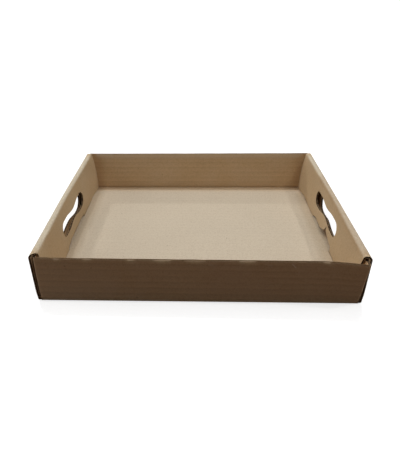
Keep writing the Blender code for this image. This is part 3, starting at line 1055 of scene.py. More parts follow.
@dataclass
class Liner:
    """One of the two papers that the fluted sheet is glued between."""

    name: str
    blank: Blank
    face: Face
    seed: float
    finish: bpy.types.Material
    edge_finish: bpy.types.Material
    weld: float = 0.01 * MM
    sharp_angle: float = math.radians(38.0)

    def flat(self) -> bpy.types.Mesh:
        """Fill the blank's outline.

        Returns:
            The flat mesh, with the holes and slots left open.
        """
        curve = bpy.data.curves.new("blank_outline", "CURVE")
        curve.dimensions = "2D"
        curve.fill_mode = "BOTH"
        for points in self.blank.outlines():
            points = self.blank.ragged(points, self.seed)
            spline = curve.splines.new("POLY")
            spline.points.add(len(points) - 1)
            for spot, (x, y) in zip(spline.points, points):
                spot.co = (x, y, 0.0, 1.0)
            spline.use_cyclic_u = True
        outline = new_object("blank_outline", curve)
        graph = bpy.context.evaluated_depsgraph_get()
        mesh = bpy.data.meshes.new_from_object(outline.evaluated_get(graph))
        bpy.data.objects.remove(outline)
        return mesh

    def score(self, bm: bmesh.types.BMesh, score: Score) -> None:
        """Cut the faces that a score's test holds for along its lines.

        Args:
            bm: the flat paper.
            score: the lines and their test.
        """
        marks = bm.edges.layers.int["scored"]
        normal = Vector((1, 0, 0)) if score.axis == 0 else Vector((0, 1, 0))
        faces = {face for face in bm.faces if score.inside(face.calc_center_median())}
        for place in sorted(score.places):
            geometry, ahead = set(), set()
            for face in faces:
                values = [vert.co[score.axis] for vert in face.verts]
                if max(values) <= place:
                    continue
                ahead.add(face)
                if min(values) < place:
                    geometry.add(face)
                    geometry.update(face.edges)
                    geometry.update(face.verts)
            cut = bmesh.ops.bisect_plane(
                bm, geom=list(geometry), dist=SNAP, plane_co=normal * place, plane_no=normal
            )
            faces = {face for face in ahead if face.is_valid}
            faces.update(part for part in cut["geom"] if isinstance(part, bmesh.types.BMFace))
            for part in cut["geom_cut"]:
                if isinstance(part, bmesh.types.BMEdge):
                    part[marks] = 1

    def join_unscored(self, bm: bmesh.types.BMesh) -> None:
        """Join the faces on both sides of each line that isn't a score.

        Args:
            bm: the flat paper, whose points along such lines go too.
        """
        marks = bm.edges.layers.int["scored"]
        spare = [edge for edge in bm.edges if len(edge.link_faces) == 2 and not edge[marks]]
        bmesh.ops.dissolve_edges(bm, edges=spare, use_verts=False, use_face_split=False)
        ends = [vert for vert in bm.verts if len(vert.link_edges) == 2 and not vert.is_boundary]
        bmesh.ops.dissolve_verts(bm, verts=ends)
        bmesh.ops.remove_doubles(bm, verts=bm.verts, dist=SNAP)

    def cut_out(self) -> bmesh.types.BMesh:
        """Cut the flat paper along every score.

        Returns:
            The flat paper, in triangles.
        """
        mesh = self.flat()
        bm = bmesh.new()
        bm.from_mesh(mesh)
        bpy.data.meshes.remove(mesh)
        bmesh.ops.remove_doubles(bm, verts=bm.verts, dist=self.weld)
        for face in bm.faces:
            if face.normal.z < 0:
                face.normal_flip()
        bm.edges.layers.int.new("scored")
        for score in self.blank.scores():
            self.score(bm, score)
        self.join_unscored(bm)
        bmesh.ops.triangulate(bm, faces=bm.faces)
        return bm

    def build(self) -> bpy.types.Object:
        """Make the folded paper, with its cut edges in a finish of their own.

        Returns:
            The paper's object.
        """
        bm = self.cut_out()
        bm.verts.index_update()
        flat = [tuple(vert.co) for vert in bm.verts]
        faces = [[vert.index for vert in face.verts] for face in bm.faces]
        rims = []
        for edge in bm.edges:
            if len(edge.link_faces) == 1:
                loop = edge.link_loops[0]
                rims.append((loop.vert.index, loop.link_loop_next.vert.index))
        bm.free()
        count = len(flat)
        upper, lower, upward = [], [], []
        for x, y, _ in flat:
            middle, normal = self.blank.place(x, y), self.blank.facing(x, y)
            outer = BOARD.thickness / 2
            if self.face is Face.OUTSIDE:
                outer -= self.blank.crushed(x, y)
            heights = (self.face.value * outer, self.face.value * (outer - BOARD.liner))
            upper.append(middle + normal * max(heights))
            lower.append(middle + normal * min(heights))
            upward.append(self.face.value * normal.z)
        places = upper + lower
        under = [[index + count for index in reversed(face)] for face in faces]
        rim = [[second, first, first + count, second + count] for first, second in rims]
        mesh = bpy.data.meshes.new(self.name)
        mesh.from_pydata(places, [], faces + under + rim)
        keep_blank_places(mesh, flat + flat)
        layer = mesh.attributes.new(UPWARD_ATTRIBUTE, "FLOAT", "POINT")
        layer.data.foreach_set("value", np.array(upward + upward, np.float32))
        mesh.materials.append(self.finish)
        mesh.materials.append(self.edge_finish)
        slots = [0] * (2 * len(faces)) + [1] * len(rim)
        mesh.polygons.foreach_set("material_index", slots)
        mesh.shade_smooth()
        mesh.set_sharp_from_angle(angle=self.sharp_angle)
        return new_object(self.name, mesh)


class Graph:
    """Adds nodes to a tree and joins them."""

    def __init__(self, tree: bpy.types.NodeTree) -> None:
        """Take over a tree and empty it."""
        self.tree = tree
        tree.nodes.clear()

    def add(self, kind: str, inputs: Inputs | None = None, **settings: object) -> bpy.types.Node:
        """Add a node.

        Args:
            kind: the node's type.
            inputs: a value or a socket for each input that is named or numbered.
            settings: the node's own properties.

        Returns:
            The new node.
        """
        node = self.tree.nodes.new(kind)
        for name, value in settings.items():
            setattr(node, name, value)
        for name, value in (inputs or {}).items():
            if isinstance(value, Socket):
                self.tree.links.new(value, node.inputs[name])
            else:
                node.inputs[name].default_value = value
        return node

    def maths(self, operation: str, first: Value, second: Value = 0.0) -> Socket:
        """Return the result of a Math node."""
        return self.add("ShaderNodeMath", {0: first, 1: second}, operation=operation).outputs[0]

    def raised(self, base: float, value: Value, factor: Value) -> Socket:
        """Return a base with the product of a value and a factor added to it."""
        inputs = {0: value, 1: factor, 2: base}
        return self.add("ShaderNodeMath", inputs, operation="MULTIPLY_ADD").outputs[0]

    def vectors(self, operation: str, inputs: Inputs) -> Sequence[Socket]:
        """Return the outputs of a Vector Math node: a vector, and then a value."""
        return self.add("ShaderNodeVectorMath", inputs, operation=operation).outputs

    def fade(self, value: Value, start: float, stop: float) -> Socket:
        """Return a smooth step.

        Args:
            value: what the step follows.
            start: the value at which the step is 0 and begins to rise.
            stop: the value from which on it is 1, above the start or below it.

        Returns:
            The step, from 0 to 1.
        """
        settings = {"interpolation_type": "SMOOTHSTEP", "clamp": True}
        inputs = {"Value": value, "From Min": start, "From Max": stop}
        return self.add("ShaderNodeMapRange", inputs, **settings).outputs["Result"]

    def mix(self, share: Value, first: Value, second: Value) -> Socket:
        """Return a colour between two."""
        inputs = {0: share, 6: first, 7: second}
        return self.add("ShaderNodeMix", inputs, data_type="RGBA").outputs[2]

    def noise(self, where: Value, scale: float, detail: float, roughness: float = 0.55) -> Socket:
        """Return a noise pattern's value, about 0.5 on average."""
        inputs = {"Vector": where, "Scale": scale, "Detail": detail, "Roughness": roughness}
        return self.add("ShaderNodeTexNoise", inputs).outputs[0]

    def stretched(self, where: Value, scale: tuple[float, float, float]) -> Socket:
        """Return coordinates stretched by a factor along each axis."""
        return self.add("ShaderNodeMapping", {"Vector": where, "Scale": scale}).outputs[0]

    def paper(self, colour: Value, roughness: Value, specular: float, bump: bpy.types.Node) -> None:
        """Make the tree's material paper.

        Args:
            colour: the paper's colour.
            roughness: how dull it is.
            specular: how strongly it reflects.
            bump: the Bump node that its small heights come from.
        """
        inputs = {
            "Base Color": colour,
            "Roughness": roughness,
            "Specular IOR Level": specular,
            "Normal": bump.outputs[0],
        }
        shader = self.add("ShaderNodeBsdfPrincipled", inputs)
        self.add("ShaderNodeOutputMaterial", {"Surface": shader.outputs[0]})


def new_material(name: str) -> tuple[bpy.types.Material, Graph]:
    """Add a material.

    Args:
        name: the material's name.

    Returns:
        The material and a graph on its empty node tree.
    """
    material = bpy.data.materials.new(name)
    material.use_nodes = True
    return material, Graph(material.node_tree)


@dataclass(frozen=True)
class Pattern:
    """A noise pattern that covers what is under it where its value is high enough."""

    scale: float
    detail: float
    roughness: float
    start: float
    full: float
    strength: float = 1.0

    def value(self, graph: Graph, where: Value) -> Socket:
        """Return the pattern's value."""
        return graph.noise(where, self.scale, self.detail, self.roughness)

    def cover(self, graph: Graph, value: Value) -> Socket:
        """Return how much the pattern covers where it has a value."""
        return graph.maths("MULTIPLY", graph.fade(value, self.start, self.full), self.strength)


def marks(colour: Colour, strength: float, *strokes: Sequence[float]) -> tuple[Mark, ...]:
    """Return marks of one colour.

    Args:
        colour: the marks' colour.
        strength: how strongly they cover the paper.
        strokes: for each mark, its two ends on the blank and its width, in millimetres.

    Returns:
        A mark for each stroke.
    """
    return tuple(
        Mark((x0 * MM, y0 * MM), (x1 * MM, y1 * MM), width * MM, colour, strength)
        for x0, y0, x1, y1, width in strokes
    )


@dataclass(frozen=True)
class KraftPaper:
    """Kraft liner: brown where it stands upright, paler where it faces up as painted light from above.

    The fluting shows through as faint ribs, and each face of the blank has its own marks. On the
    floor close to the walls, painted shade takes the place of the painted light.
    """

    name: str
    marks: tuple[Mark, ...]
    brown: Colour = (0.585, 0.404, 0.226, 1.0)
    # The colour where the paper faces up: painted light from above.
    top_light: Colour = (0.60, 0.515, 0.395, 1.0)
    dark: Colour = (0.30, 0.19, 0.10, 1.0)
    pale: Colour = (0.72, 0.62, 0.48, 1.0)
    fleck: Colour = (0.12, 0.07, 0.035, 1.0)
    roughness: float = 0.84
    roughness_swing: float = 0.16
    specular: float = 0.3
    # How far a face must point up for the painted light from above to start and to be full.
    top_light_start: float = 0.15
    top_light_full: float = 0.9
    clouds: Pattern = Pattern(16.0, 3.0, 0.55, 0.35, 0.70, 0.10)
    mottle: Pattern = Pattern(420.0, 4.0, 0.60, 0.40, 0.74, 0.28)
    streaks: Pattern = Pattern(1.0, 2.0, 0.60, 0.50, 0.80, 0.16)
    streak_scale: tuple[float, float, float] = (1500.0, 320.0, 1.0)
    grain: Pattern = Pattern(1500.0, 2.0, 0.60, 0.45, 0.75, 0.24)
    wear: Pattern = Pattern(240.0, 4.0, 0.70, 0.42, 0.70, 0.3)
    fleck_scale: float = 85.0
    fleck_rarity: float = 0.70
    fleck_size: float = 0.05
    fleck_strength: float = 0.6
    rib_pitch: float = 9.58 * MM
    rib_place: float = 197.5 * MM
    rib_shade: float = 0.05
    rib_wobble: float = 1.6
    rib_wobble_scale: float = 45.0
    rib_wobble_detail: float = 2.0
    rib_overtone: float = 0.45
    rib_patches: Pattern = Pattern(1.0, 2.0, 0.55, 0.25, 0.62)
    rib_patch_scale: tuple[float, float, float] = (9.0, 60.0, 1.0)
    top_light_calm: float = 0.7
    panel_calm: float = 0.7
    panel_margin: float = 8.0 * MM
    rib_height: float = 0.03
    mottle_height: float = 0.05
    grain_height: float = 0.03
    crush: float = 0.10
    crease_reach: float = 3.4 * MM
    crease_core: float = 0.9 * MM
    # Painted shade in the folds round the floor.
    valley_shade: float = 0.0
    valley_reach: float = 4.5 * MM
    valley_core: float = 0.6 * MM
    # Painted shade on the floor close to the end panels and the walls, where less painted top light is
    # mixed in.
    wall_shade_reach: float = 24.0 * MM
    wall_shade_core: float = 1.0 * MM
    wall_shade_edge: float = 8.0 * MM
    wall_shade_stop: float = 9.0 * MM
    panel_stand: float = 7.0 * MM
    panel_shade: float = 0.3
    wall_shade: float = 0.85

    def near_line(self, graph: Graph, across: Value, place: float, limits: Point) -> Socket:
        """Return how near a surface point is to a line on the blank or to its mirror image.

        Args:
            graph: the material's graph.
            across: the point's place on the blank, across the line.
            place: the line's distance from the blank's middle.
            limits: how far away the nearness starts and how near it is full.

        Returns:
            The nearness, from 0 to 1.
        """
        away = graph.maths("SUBTRACT", graph.maths("ABSOLUTE", across), place)
        return graph.fade(graph.maths("ABSOLUTE", away), *limits)

    def creases(self, graph: Graph, blank: bpy.types.Node) -> Socket:
        """Return how near a surface point is to a fold.

        Args:
            graph: the material's graph.
            blank: the node that gives the point's place on the blank.

        Returns:
            The nearness, from 0 to 1.
        """
        panel = PANELS[Side.LEFT]
        limits = self.crease_reach, self.crease_core
        near = None
        runs = (
            (0, TRAY.floor_x + BOARD.bend / 2),
            (1, TRAY.floor_y + BOARD.bend / 2),
            (0, TRAY.floor_x + panel.roll_start + BOARD.bend / 2),
            (0, TRAY.floor_x + panel.inner_start - panel.inner_bend / 2),
        )
        for axis, place in runs:
            bump = self.near_line(graph, blank.outputs[axis], place, limits)
            near = bump if near is None else graph.maths("MAXIMUM", near, bump)
        return near

    def valleys(self, graph: Graph, blank: bpy.types.Node) -> Socket:
        """Return how near a surface point is to the folds round the floor.

        Args:
            graph: the material's graph.
            blank: the node that gives the point's place on the blank.

        Returns:
            The nearness, from 0 to 1.
        """
        limits = self.valley_reach, self.valley_core
        near = [
            self.near_line(graph, blank.outputs[axis], place + BOARD.bend / 2, limits)
            for axis, place in ((0, TRAY.floor_x), (1, TRAY.floor_y))
        ]
        return graph.maths("MAXIMUM", *near)

    def top_light_share(self, graph: Graph, blank: bpy.types.Node) -> Socket:
        """Return how much of the painted top light a point has, which gives way to painted shade near
        a wall.

        Args:
            graph: the material's graph.
            blank: the node that gives the point's place on the blank.

        Returns:
            The share, from 0 to 1.
        """
        near = []
        panel_line = TRAY.floor_x - self.panel_stand
        lines = ((0, panel_line, self.panel_shade), (1, TRAY.floor_y, self.wall_shade))
        for axis, place, share in lines:
            gap = graph.maths("SUBTRACT", place, graph.maths("ABSOLUTE", blank.outputs[axis]))
            on_floor = graph.fade(gap, -self.wall_shade_stop, -self.wall_shade_edge)
            close = graph.fade(gap, self.wall_shade_reach, self.wall_shade_core)
            close = graph.maths("MULTIPLY", close, on_floor)
            near.append(graph.maths("MULTIPLY", close, share))
        return graph.maths("SUBTRACT", 1.0, graph.maths("MAXIMUM", *near))

    def ribs(self, graph: Graph, flat: Value, blank: bpy.types.Node) -> Socket:
        """Return the height of the faint ribs that the fluting presses through the paper.

        Args:
            graph: the material's graph.
            flat: the surface point's place on the blank.
            blank: the node that gives it axis by axis.

        Returns:
            The height, at most about one up or down, and lower where the ribs fade.
        """
        wobble = graph.noise(flat, self.rib_wobble_scale, self.rib_wobble_detail)
        wobble = graph.maths("MULTIPLY", wobble, self.rib_wobble)
        place = graph.maths("SUBTRACT", graph.maths("ABSOLUTE", blank.outputs[1]), self.rib_place)
        turn = graph.maths("MULTIPLY", place, 2 * math.pi / self.rib_pitch)
        turn = graph.maths("ADD", turn, wobble)
        broad = graph.maths("SINE", turn)
        narrow = graph.maths("SINE", graph.maths("MULTIPLY", turn, 2.0))
        narrow = graph.maths("MULTIPLY", narrow, self.rib_overtone)
        patches = self.rib_patches.value(graph, graph.stretched(flat, self.rib_patch_scale))
        strength = self.rib_patches.cover(graph, patches)
        outward = graph.maths("ABSOLUTE", blank.outputs[0])
        on_panel = graph.fade(outward, TRAY.floor_x, TRAY.floor_x + self.panel_margin)
        on_panel = graph.maths("MULTIPLY", on_panel, self.panel_calm)
        strength = graph.maths("MULTIPLY", strength, graph.maths("SUBTRACT", 1.0, on_panel))
        return graph.maths("MULTIPLY", graph.maths("ADD", broad, narrow), strength)

    def marked(self, graph: Graph, flat: Value, rough: Value, colour: Value) -> Value:
        """Draw this face's marks over a colour.

        Args:
            graph: the material's graph.
            flat: the surface point's place on the blank.
            rough: a pattern about zero that makes the marks' edges uneven.
            colour: the paper's colour.

        Returns:
            The colour with the marks.
        """
        for mark in self.marks:
            start = Vector((*mark.start, 0.0))
            line = Vector((*mark.end, 0.0)) - start
            slope = line / max(line.length_squared, TINY)
            away = graph.vectors("SUBTRACT", {0: flat, 1: start})[0]
            share = graph.vectors("DOT_PRODUCT", {0: away, 1: slope})[1]
            share = graph.maths("MINIMUM", graph.maths("MAXIMUM", share, 0.0), 1.0)
            foot = graph.vectors("SCALE", {0: line, "Scale": share})[0]
            gap = graph.vectors("DISTANCE", {0: away, 1: foot})[1]
            gap = graph.maths("ADD", gap, graph.maths("MULTIPLY", rough, mark.width))
            limits = mark.width * mark.reach_share, mark.width * mark.core_share
            cover = graph.maths("MULTIPLY", graph.fade(gap, *limits), mark.strength)
            colour = graph.mix(cover, colour, mark.colour)
        return colour

    def flecked(self, graph: Graph, spot: Value, colour: Value) -> Value:
        """Draw small dark flecks over a colour.

        Args:
            graph: the material's graph.
            spot: the surface point.
            colour: the paper's colour.

        Returns:
            The colour with the flecks.
        """
        cells = graph.add("ShaderNodeTexVoronoi", {"Vector": spot, "Scale": self.fleck_scale})
        pick = graph.add("ShaderNodeSeparateXYZ", {"Vector": cells.outputs["Color"]}).outputs[0]
        size = graph.maths("MULTIPLY", graph.fade(pick, self.fleck_rarity, 1.0), self.fleck_size)
        flecks = graph.maths("LESS_THAN", cells.outputs["Distance"], size)
        return graph.mix(graph.maths("MULTIPLY", flecks, self.fleck_strength), colour, self.fleck)

    def build(self) -> bpy.types.Material:
        """Make the paper's material.

        Returns:
            The material.
        """
        material, graph = new_material(self.name)
        spot = graph.add("ShaderNodeTexCoord").outputs["Object"]
        flat = graph.add("ShaderNodeAttribute", attribute_name=BLANK_ATTRIBUTE).outputs["Vector"]
        upward = graph.add("ShaderNodeAttribute", attribute_name=UPWARD_ATTRIBUTE).outputs["Fac"]
        blank = graph.add("ShaderNodeSeparateXYZ", {"Vector": flat})
        clouds, mottle, grain = (
            pattern.value(graph, spot) for pattern in (self.clouds, self.mottle, self.grain)
        )
        streaks = self.streaks.value(graph, graph.stretched(flat, self.streak_scale))
        ribs = self.ribs(graph, flat, blank)
        creases = self.creases(graph, blank)

        # Faces that point up are mixed towards the paler colour: painted light from above.
        level = graph.fade(upward, self.top_light_start, self.top_light_full)
        top_light = graph.maths("MULTIPLY", level, self.top_light_share(graph, blank))
        colour = graph.mix(top_light, self.brown, self.top_light)
        for pattern, value, tint in (
            (self.clouds, clouds, self.pale),
            (self.mottle, mottle, self.dark),
            (self.streaks, streaks, self.dark),
            (self.grain, grain, self.pale),
        ):
            colour = graph.mix(pattern.cover(graph, value), colour, tint)
        rib_shade = graph.raised(self.rib_shade, level, -self.top_light_calm * self.rib_shade)
        shade = graph.raised(1.0, ribs, rib_shade)
        colour = graph.vectors("SCALE", {0: colour, "Scale": shade})[0]
        colour = self.flecked(graph, spot, colour)
        colour = self.marked(graph, flat, graph.maths("SUBTRACT", grain, 0.5), colour)
        # Painted shade in the folds round the floor.
        if self.valley_shade:
            valley_darkening = graph.maths("MULTIPLY", self.valleys(graph, blank), self.valley_shade)
            colour = graph.mix(valley_darkening, colour, self.dark)
        worn = self.wear.cover(graph, self.wear.value(graph, spot))
        colour = graph.mix(graph.maths("MULTIPLY", creases, worn), colour, self.pale)

        height = graph.maths("MULTIPLY", ribs, self.rib_height)
        for value, share in ((mottle, self.mottle_height), (grain, self.grain_height)):
            height = graph.maths("ADD", height, graph.maths("MULTIPLY", value, share))
        height = graph.maths("SUBTRACT", height, graph.maths("MULTIPLY", creases, self.crush))
        bump = graph.add("ShaderNodeBump", {"Height": height, "Strength": 1.0, "Distance": MM})
        smoothest = self.roughness - self.roughness_swing / 2
        rough = graph.raised(smoothest, mottle, self.roughness_swing)
        graph.paper(colour, rough, self.specular, bump)
        return material


@dataclass(frozen=True)
class CutPaper:
    """The torn, fibrous cut edge of the papers, and the fluted sheet between them.

    The cut edges at the back ends of the hand holes are painted darker: painted shade.
    """

    name: str
    colour: Colour
    dark: Colour
    roughness: float = 0.95
    specular: float = 0.25
    fibre: Pattern = Pattern(900.0, 4.0, 0.70, 0.35, 0.70)
    patches: Pattern = Pattern(120.0, 3.0, 0.55, 0.45, 0.75, 0.5)
    fibre_height: float = 0.25 * MM
    shade: Colour = (0.035, 0.022, 0.013, 1.0)
    shade_strength: float = 0.85
    shade_start: float = 52.0 * MM
    shade_full: float = 74.0 * MM
    shade_edge: float = 105.0 * MM
    shade_stop: float = 110.0 * MM
    shade_outer: float = 16.0 * MM
    shade_inner: float = 20.0 * MM

    def hole_ends(self, graph: Graph, spot: Value) -> Socket:
        """Return how near a point is to the back end of a hand hole.

        Args:
            graph: the material's graph.
            spot: the surface point.

        Returns:
            One in the end walls behind the middle of the hand holes, and zero elsewhere.
        """
        place = graph.add("ShaderNodeSeparateXYZ", {"Vector": spot})
        outward = graph.maths("ABSOLUTE", place.outputs[0])
        inner, outer = TRAY.wall_x - self.shade_inner, TRAY.wall_x - self.shade_outer
        in_end = graph.fade(outward, inner, outer)
        behind = graph.fade(place.outputs[1], self.shade_start, self.shade_full)
        before = graph.fade(place.outputs[1], self.shade_stop, self.shade_edge)
        return graph.maths("MULTIPLY", graph.maths("MULTIPLY", behind, before), in_end)

    def build(self) -> bpy.types.Material:
        """Make the edge's material.

        Returns:
            The material.
        """
        material, graph = new_material(self.name)
        spot = graph.add("ShaderNodeTexCoord").outputs["Object"]
        fibre = self.fibre.value(graph, spot)
        colour = graph.mix(self.fibre.cover(graph, fibre), self.dark, self.colour)
        patches = self.patches.cover(graph, self.patches.value(graph, spot))
        colour = graph.mix(patches, colour, self.dark)
        shaded = graph.maths("MULTIPLY", self.hole_ends(graph, spot), self.shade_strength)
        colour = graph.mix(shaded, colour, self.shade)
        inputs = {"Height": fibre, "Strength": 1.0, "Distance": self.fibre_height}
        graph.paper(colour, self.roughness, self.specular, graph.add("ShaderNodeBump", inputs))
        return material


class FluteTree:
    """The Geometry Nodes tree that turns a plain sheet into fluting."""

    kinds = {"Sheet": "Geometry", "Pitch": "Float", "Height": "Float", "Paper": "Material"}

    def __init__(self, name: str) -> None:
        """Build the tree with its named inputs.

        Args:
            name: the tree's name.
        """
        self.tree = bpy.data.node_groups.new(name, "GeometryNodeTree")
        face = self.tree.interface
        graph = Graph(self.tree)
        face.new_socket("Geometry", in_out="OUTPUT", socket_type="NodeSocketGeometry")
        self.sockets = {
            name: face.new_socket(name, in_out="INPUT", socket_type=f"NodeSocket{kind}")
            for name, kind in self.kinds.items()
        }
        given = graph.add("NodeGroupInput").outputs
        named = {"data_type": "FLOAT_VECTOR"}
        blank = graph.add("GeometryNodeInputNamedAttribute", {0: BLANK_ATTRIBUTE}, **named)
        across = graph.add("ShaderNodeSeparateXYZ", {0: blank.outputs[0]}).outputs[1]
        turn = graph.maths("MULTIPLY", graph.maths("DIVIDE", across, given["Pitch"]), 2 * math.pi)
        wave = graph.maths("MULTIPLY", graph.maths("SINE", turn), given["Height"])
        normal = graph.add("GeometryNodeInputNormal").outputs[0]
        shift = graph.vectors("SCALE", {0: normal, "Scale": wave})[0]
        moved = graph.add("GeometryNodeSetPosition", {"Geometry": given["Sheet"], "Offset": shift})
        real = graph.add("GeometryNodeRealizeInstances", {0: moved.outputs[0]})
        inputs = {"Geometry": real.outputs[0], "Material": given["Paper"]}
        dressed = graph.add("GeometryNodeSetMaterial", inputs)
        graph.add("NodeGroupOutput", {0: dressed.outputs[0]})

    def put_on(self, item: bpy.types.Object, values: dict[str, object]) -> None:
        """Add the tree to an object as a modifier.

        Args:
            item: the object that shows the sheet.
            values: the value of each named input.
        """
        modifier = item.modifiers.new("flutes", "NODES")
        modifier.node_group = self.tree
        for name, value in values.items():
            modifier[self.sockets[name].identifier] = value


@dataclass
class FlutedSheet:
    """The fluted sheet between the liners, as far in from the cut edges as it can be seen."""

    name: str
    blank: Blank
    finish: bpy.types.Material
    reach: float = 7.0 * MM
    recess: float = 0.25 * MM
    ragged: float = 0.55 * MM
    grain: float = 1.7 * MM
    column: float = 2.2 * MM
    closest: float = 0.2 * MM
    outline_step: float = 6.0 * MM
    edge_step: float = 1.0 * MM
    rows_per_flute: int = 10
    fill_share: float = 0.96
    sharp_angle: float = math.radians(50.0)

    def columns(self) -> list[float]:
        """Return the lines across the flutes at which the sheet can bend.

        Along an end panel, folds and flat parts take turns from stop to stop.

        Returns:
            Their places on the blank, from left to right.
        """
        bend = BOARD.bend
        lines = set(spaced(-TRAY.floor_x, TRAY.floor_x, self.column))
        lines.update(both([TRAY.floor_x]))
        for side, panel in self.blank.panels.items():
            tip = panel.foot_run + BOARD.thickness
            stops = [0.0, bend, panel.roll_start, panel.roll_start + bend]
            stops += [panel.inner_start - panel.inner_bend, panel.inner_start, tip]
            for index, (start, stop) in enumerate(zip(stops, stops[1:])):
                if index % 2:
                    runs = spaced(start, stop, self.column)
                else:
                    runs = steps(start, stop, BOARD.crease_steps)
                lines.update(side.value * (TRAY.floor_x + run) for run in runs)
            lines.add(side.value * (TRAY.floor_x + tip))
        kept = []
        for line in sorted(lines):
            if not kept or line - kept[-1] > self.closest:
                kept.append(line)
        return kept

    def edge_points(self, outlines: list[list[Point]]) -> KDTree:
        """Set points about a millimetre apart along the cut edges.

        Args:
            outlines: the lines that the blank is cut along.

        Returns:
            A search tree of the points.
        """
        points = []
        for outline in outlines:
            for (x0, y0), (x1, y1) in zip(outline, outline[1:] + outline[:1]):
                count = max(1, math.ceil(math.dist((x0, y0), (x1, y1)) / self.edge_step))
                start, line = Vector((x0, y0, 0.0)), Vector((x1 - x0, y1 - y0, 0.0))
                points += [start + line * (index / count) for index in range(count)]
        tree = KDTree(len(points))
        for index, point in enumerate(points):
            tree.insert(point, index)
        tree.balance()
        return tree

    def on_blank(self, points: np.ndarray, outlines: list[list[Point]]) -> np.ndarray:
        """Tell which points lie on the blank's board.

        Args:
            points: their places on the blank.
            outlines: the lines that the blank is cut along.

        Returns:
            For each point, whether an odd number of cut edges lies beyond it.
        """
        inside = np.zeros(len(points), bool)
        for outline in outlines:
            for (x0, y0), (x1, y1) in zip(outline, outline[1:] + outline[:1]):
                if y0 == y1:
                    continue
                spans = (points[:, 1] < max(y0, y1)) & (points[:, 1] >= min(y0, y1))
                crossing = x0 + (points[:, 1] - y0) * (x1 - x0) / (y1 - y0)
                inside ^= spans & (points[:, 0] < crossing)
        return inside

    def cells(self, columns: list[float], step: float) -> list[tuple[int, int]]:
        """Find the cells of the sheet that can be seen from a cut edge.

        Args:
            columns: the lines between the cells across the flutes.
            step: the width of a row of cells along them.

        Returns:
            The column and the row of each cell.
        """
        flat_outlines = self.blank.outlines()
        outlines = [self.blank.ragged(line, 0.0, self.outline_step) for line in flat_outlines]
        edges = self.edge_points(outlines)
        half = math.ceil((TRAY.floor_y + self.blank.walls[End.BACK].run) / step)
        cells, centres = [], []
        for column, (left, right) in enumerate(zip(columns, columns[1:])):
            for row in range(-half, half):
                x, y = (left + right) / 2, (row + 0.5) * step
                gap = edges.find((x, y, 0.0))[2]
                rough = self.ragged * (0.5 + noise.noise(Vector((x, y, 0.0)) / self.grain))
                if self.recess + rough + 2 * self.blank.crushed(x, y) < gap < self.reach:
                    cells.append((column, row))
                    centres.append((x, y))
        inside = self.on_blank(np.array(centres), outlines)
        return [cell for cell, kept in zip(cells, inside) if kept]

    def folded_mesh(self) -> bpy.types.Mesh:
        """Make the sheet before it gets its flutes.

        Returns:
            The sheet's mesh, folded with the board.
        """
        columns, step = self.columns(), BOARD.flute_pitch / self.rows_per_flute
        corners: dict[tuple[int, int], int] = {}
        places, flats, faces = [], [], []
        for column, row in self.cells(columns, step):
            face = []
            for corner in ((column, row), (column + 1, row), (column + 1, row + 1), (column, row + 1)):
                if corner not in corners:
                    x, y = columns[corner[0]], corner[1] * step
                    corners[corner] = len(places)
                    places.append(self.blank.place(x, y))
                    flats.append((x, y, 0.0))
                face.append(corners[corner])
            faces.append(face)
        mesh = bpy.data.meshes.new(self.name)
        mesh.from_pydata(places, [], faces)
        keep_blank_places(mesh, flats)
        return mesh

    def build(self) -> bpy.types.Object:
        """Make the fluted sheet.

        Returns:
            The sheet's object, with a plain mesh.
        """
        sheet = new_object(self.name, self.folded_mesh())
        height = (BOARD.thickness - 2 * BOARD.liner - BOARD.medium) / 2 * self.fill_share
        values = {"Pitch": BOARD.flute_pitch, "Height": height, "Paper": self.finish}
        FluteTree("flutes").put_on(sheet, values)
        wall = sheet.modifiers.new("paper", "SOLIDIFY")
        wall.thickness = BOARD.medium
        wall.offset = 0.0
        plain_mesh(sheet)
        sheet.data.shade_smooth()
        sheet.data.set_sharp_from_angle(angle=self.sharp_angle)
        return sheet


@dataclass(frozen=True)
class Lamp:
    """A square lamp over the tray, by how many degrees it stands to the right and to the back."""

    name: str
    right: float
    back: float
    size: float
    power: float
    distance: float = 2.2

    def build(self) -> None:
        """Add the lamp, facing the middle of the tray."""
        light = bpy.data.lights.new(self.name, "AREA")
        light.shape = "SQUARE"
        light.size = self.size
        light.energy = self.power
        lamp = new_object(self.name, light)
        aim = Vector((math.tan(math.radians(self.right)), math.tan(math.radians(self.back)), 1.0))
        lamp.location = aim.normalized() * self.distance
        lamp.rotation_euler = aim.to_track_quat("Z", "Y").to_euler()


LAMPS = (
    Lamp("left_lamp", -16.8, 15.1, 0.07, 7.6),
    Lamp("far_left_lamp", -37.6, 47.7, 0.10, 7.6),
    Lamp("right_lamp", 10.5, 15.1, 0.07, 6.4),
    Lamp("far_right_lamp", 31.0, -8.0, 0.10, 5.2),
    Lamp("ceiling", 0.0, 0.0, 1.8, 13.0),
    Lamp("back_ceiling", 0.0, 25.0, 1.2, 3.0),
    Lamp("near_right_lamp", 29.5, -46.0, 0.12, 1.9),
    Lamp("left_window", -65.0, -10.0, 1.2, 11.2),
    Lamp("right_window", 65.0, -10.0, 1.2, 5.2),
)


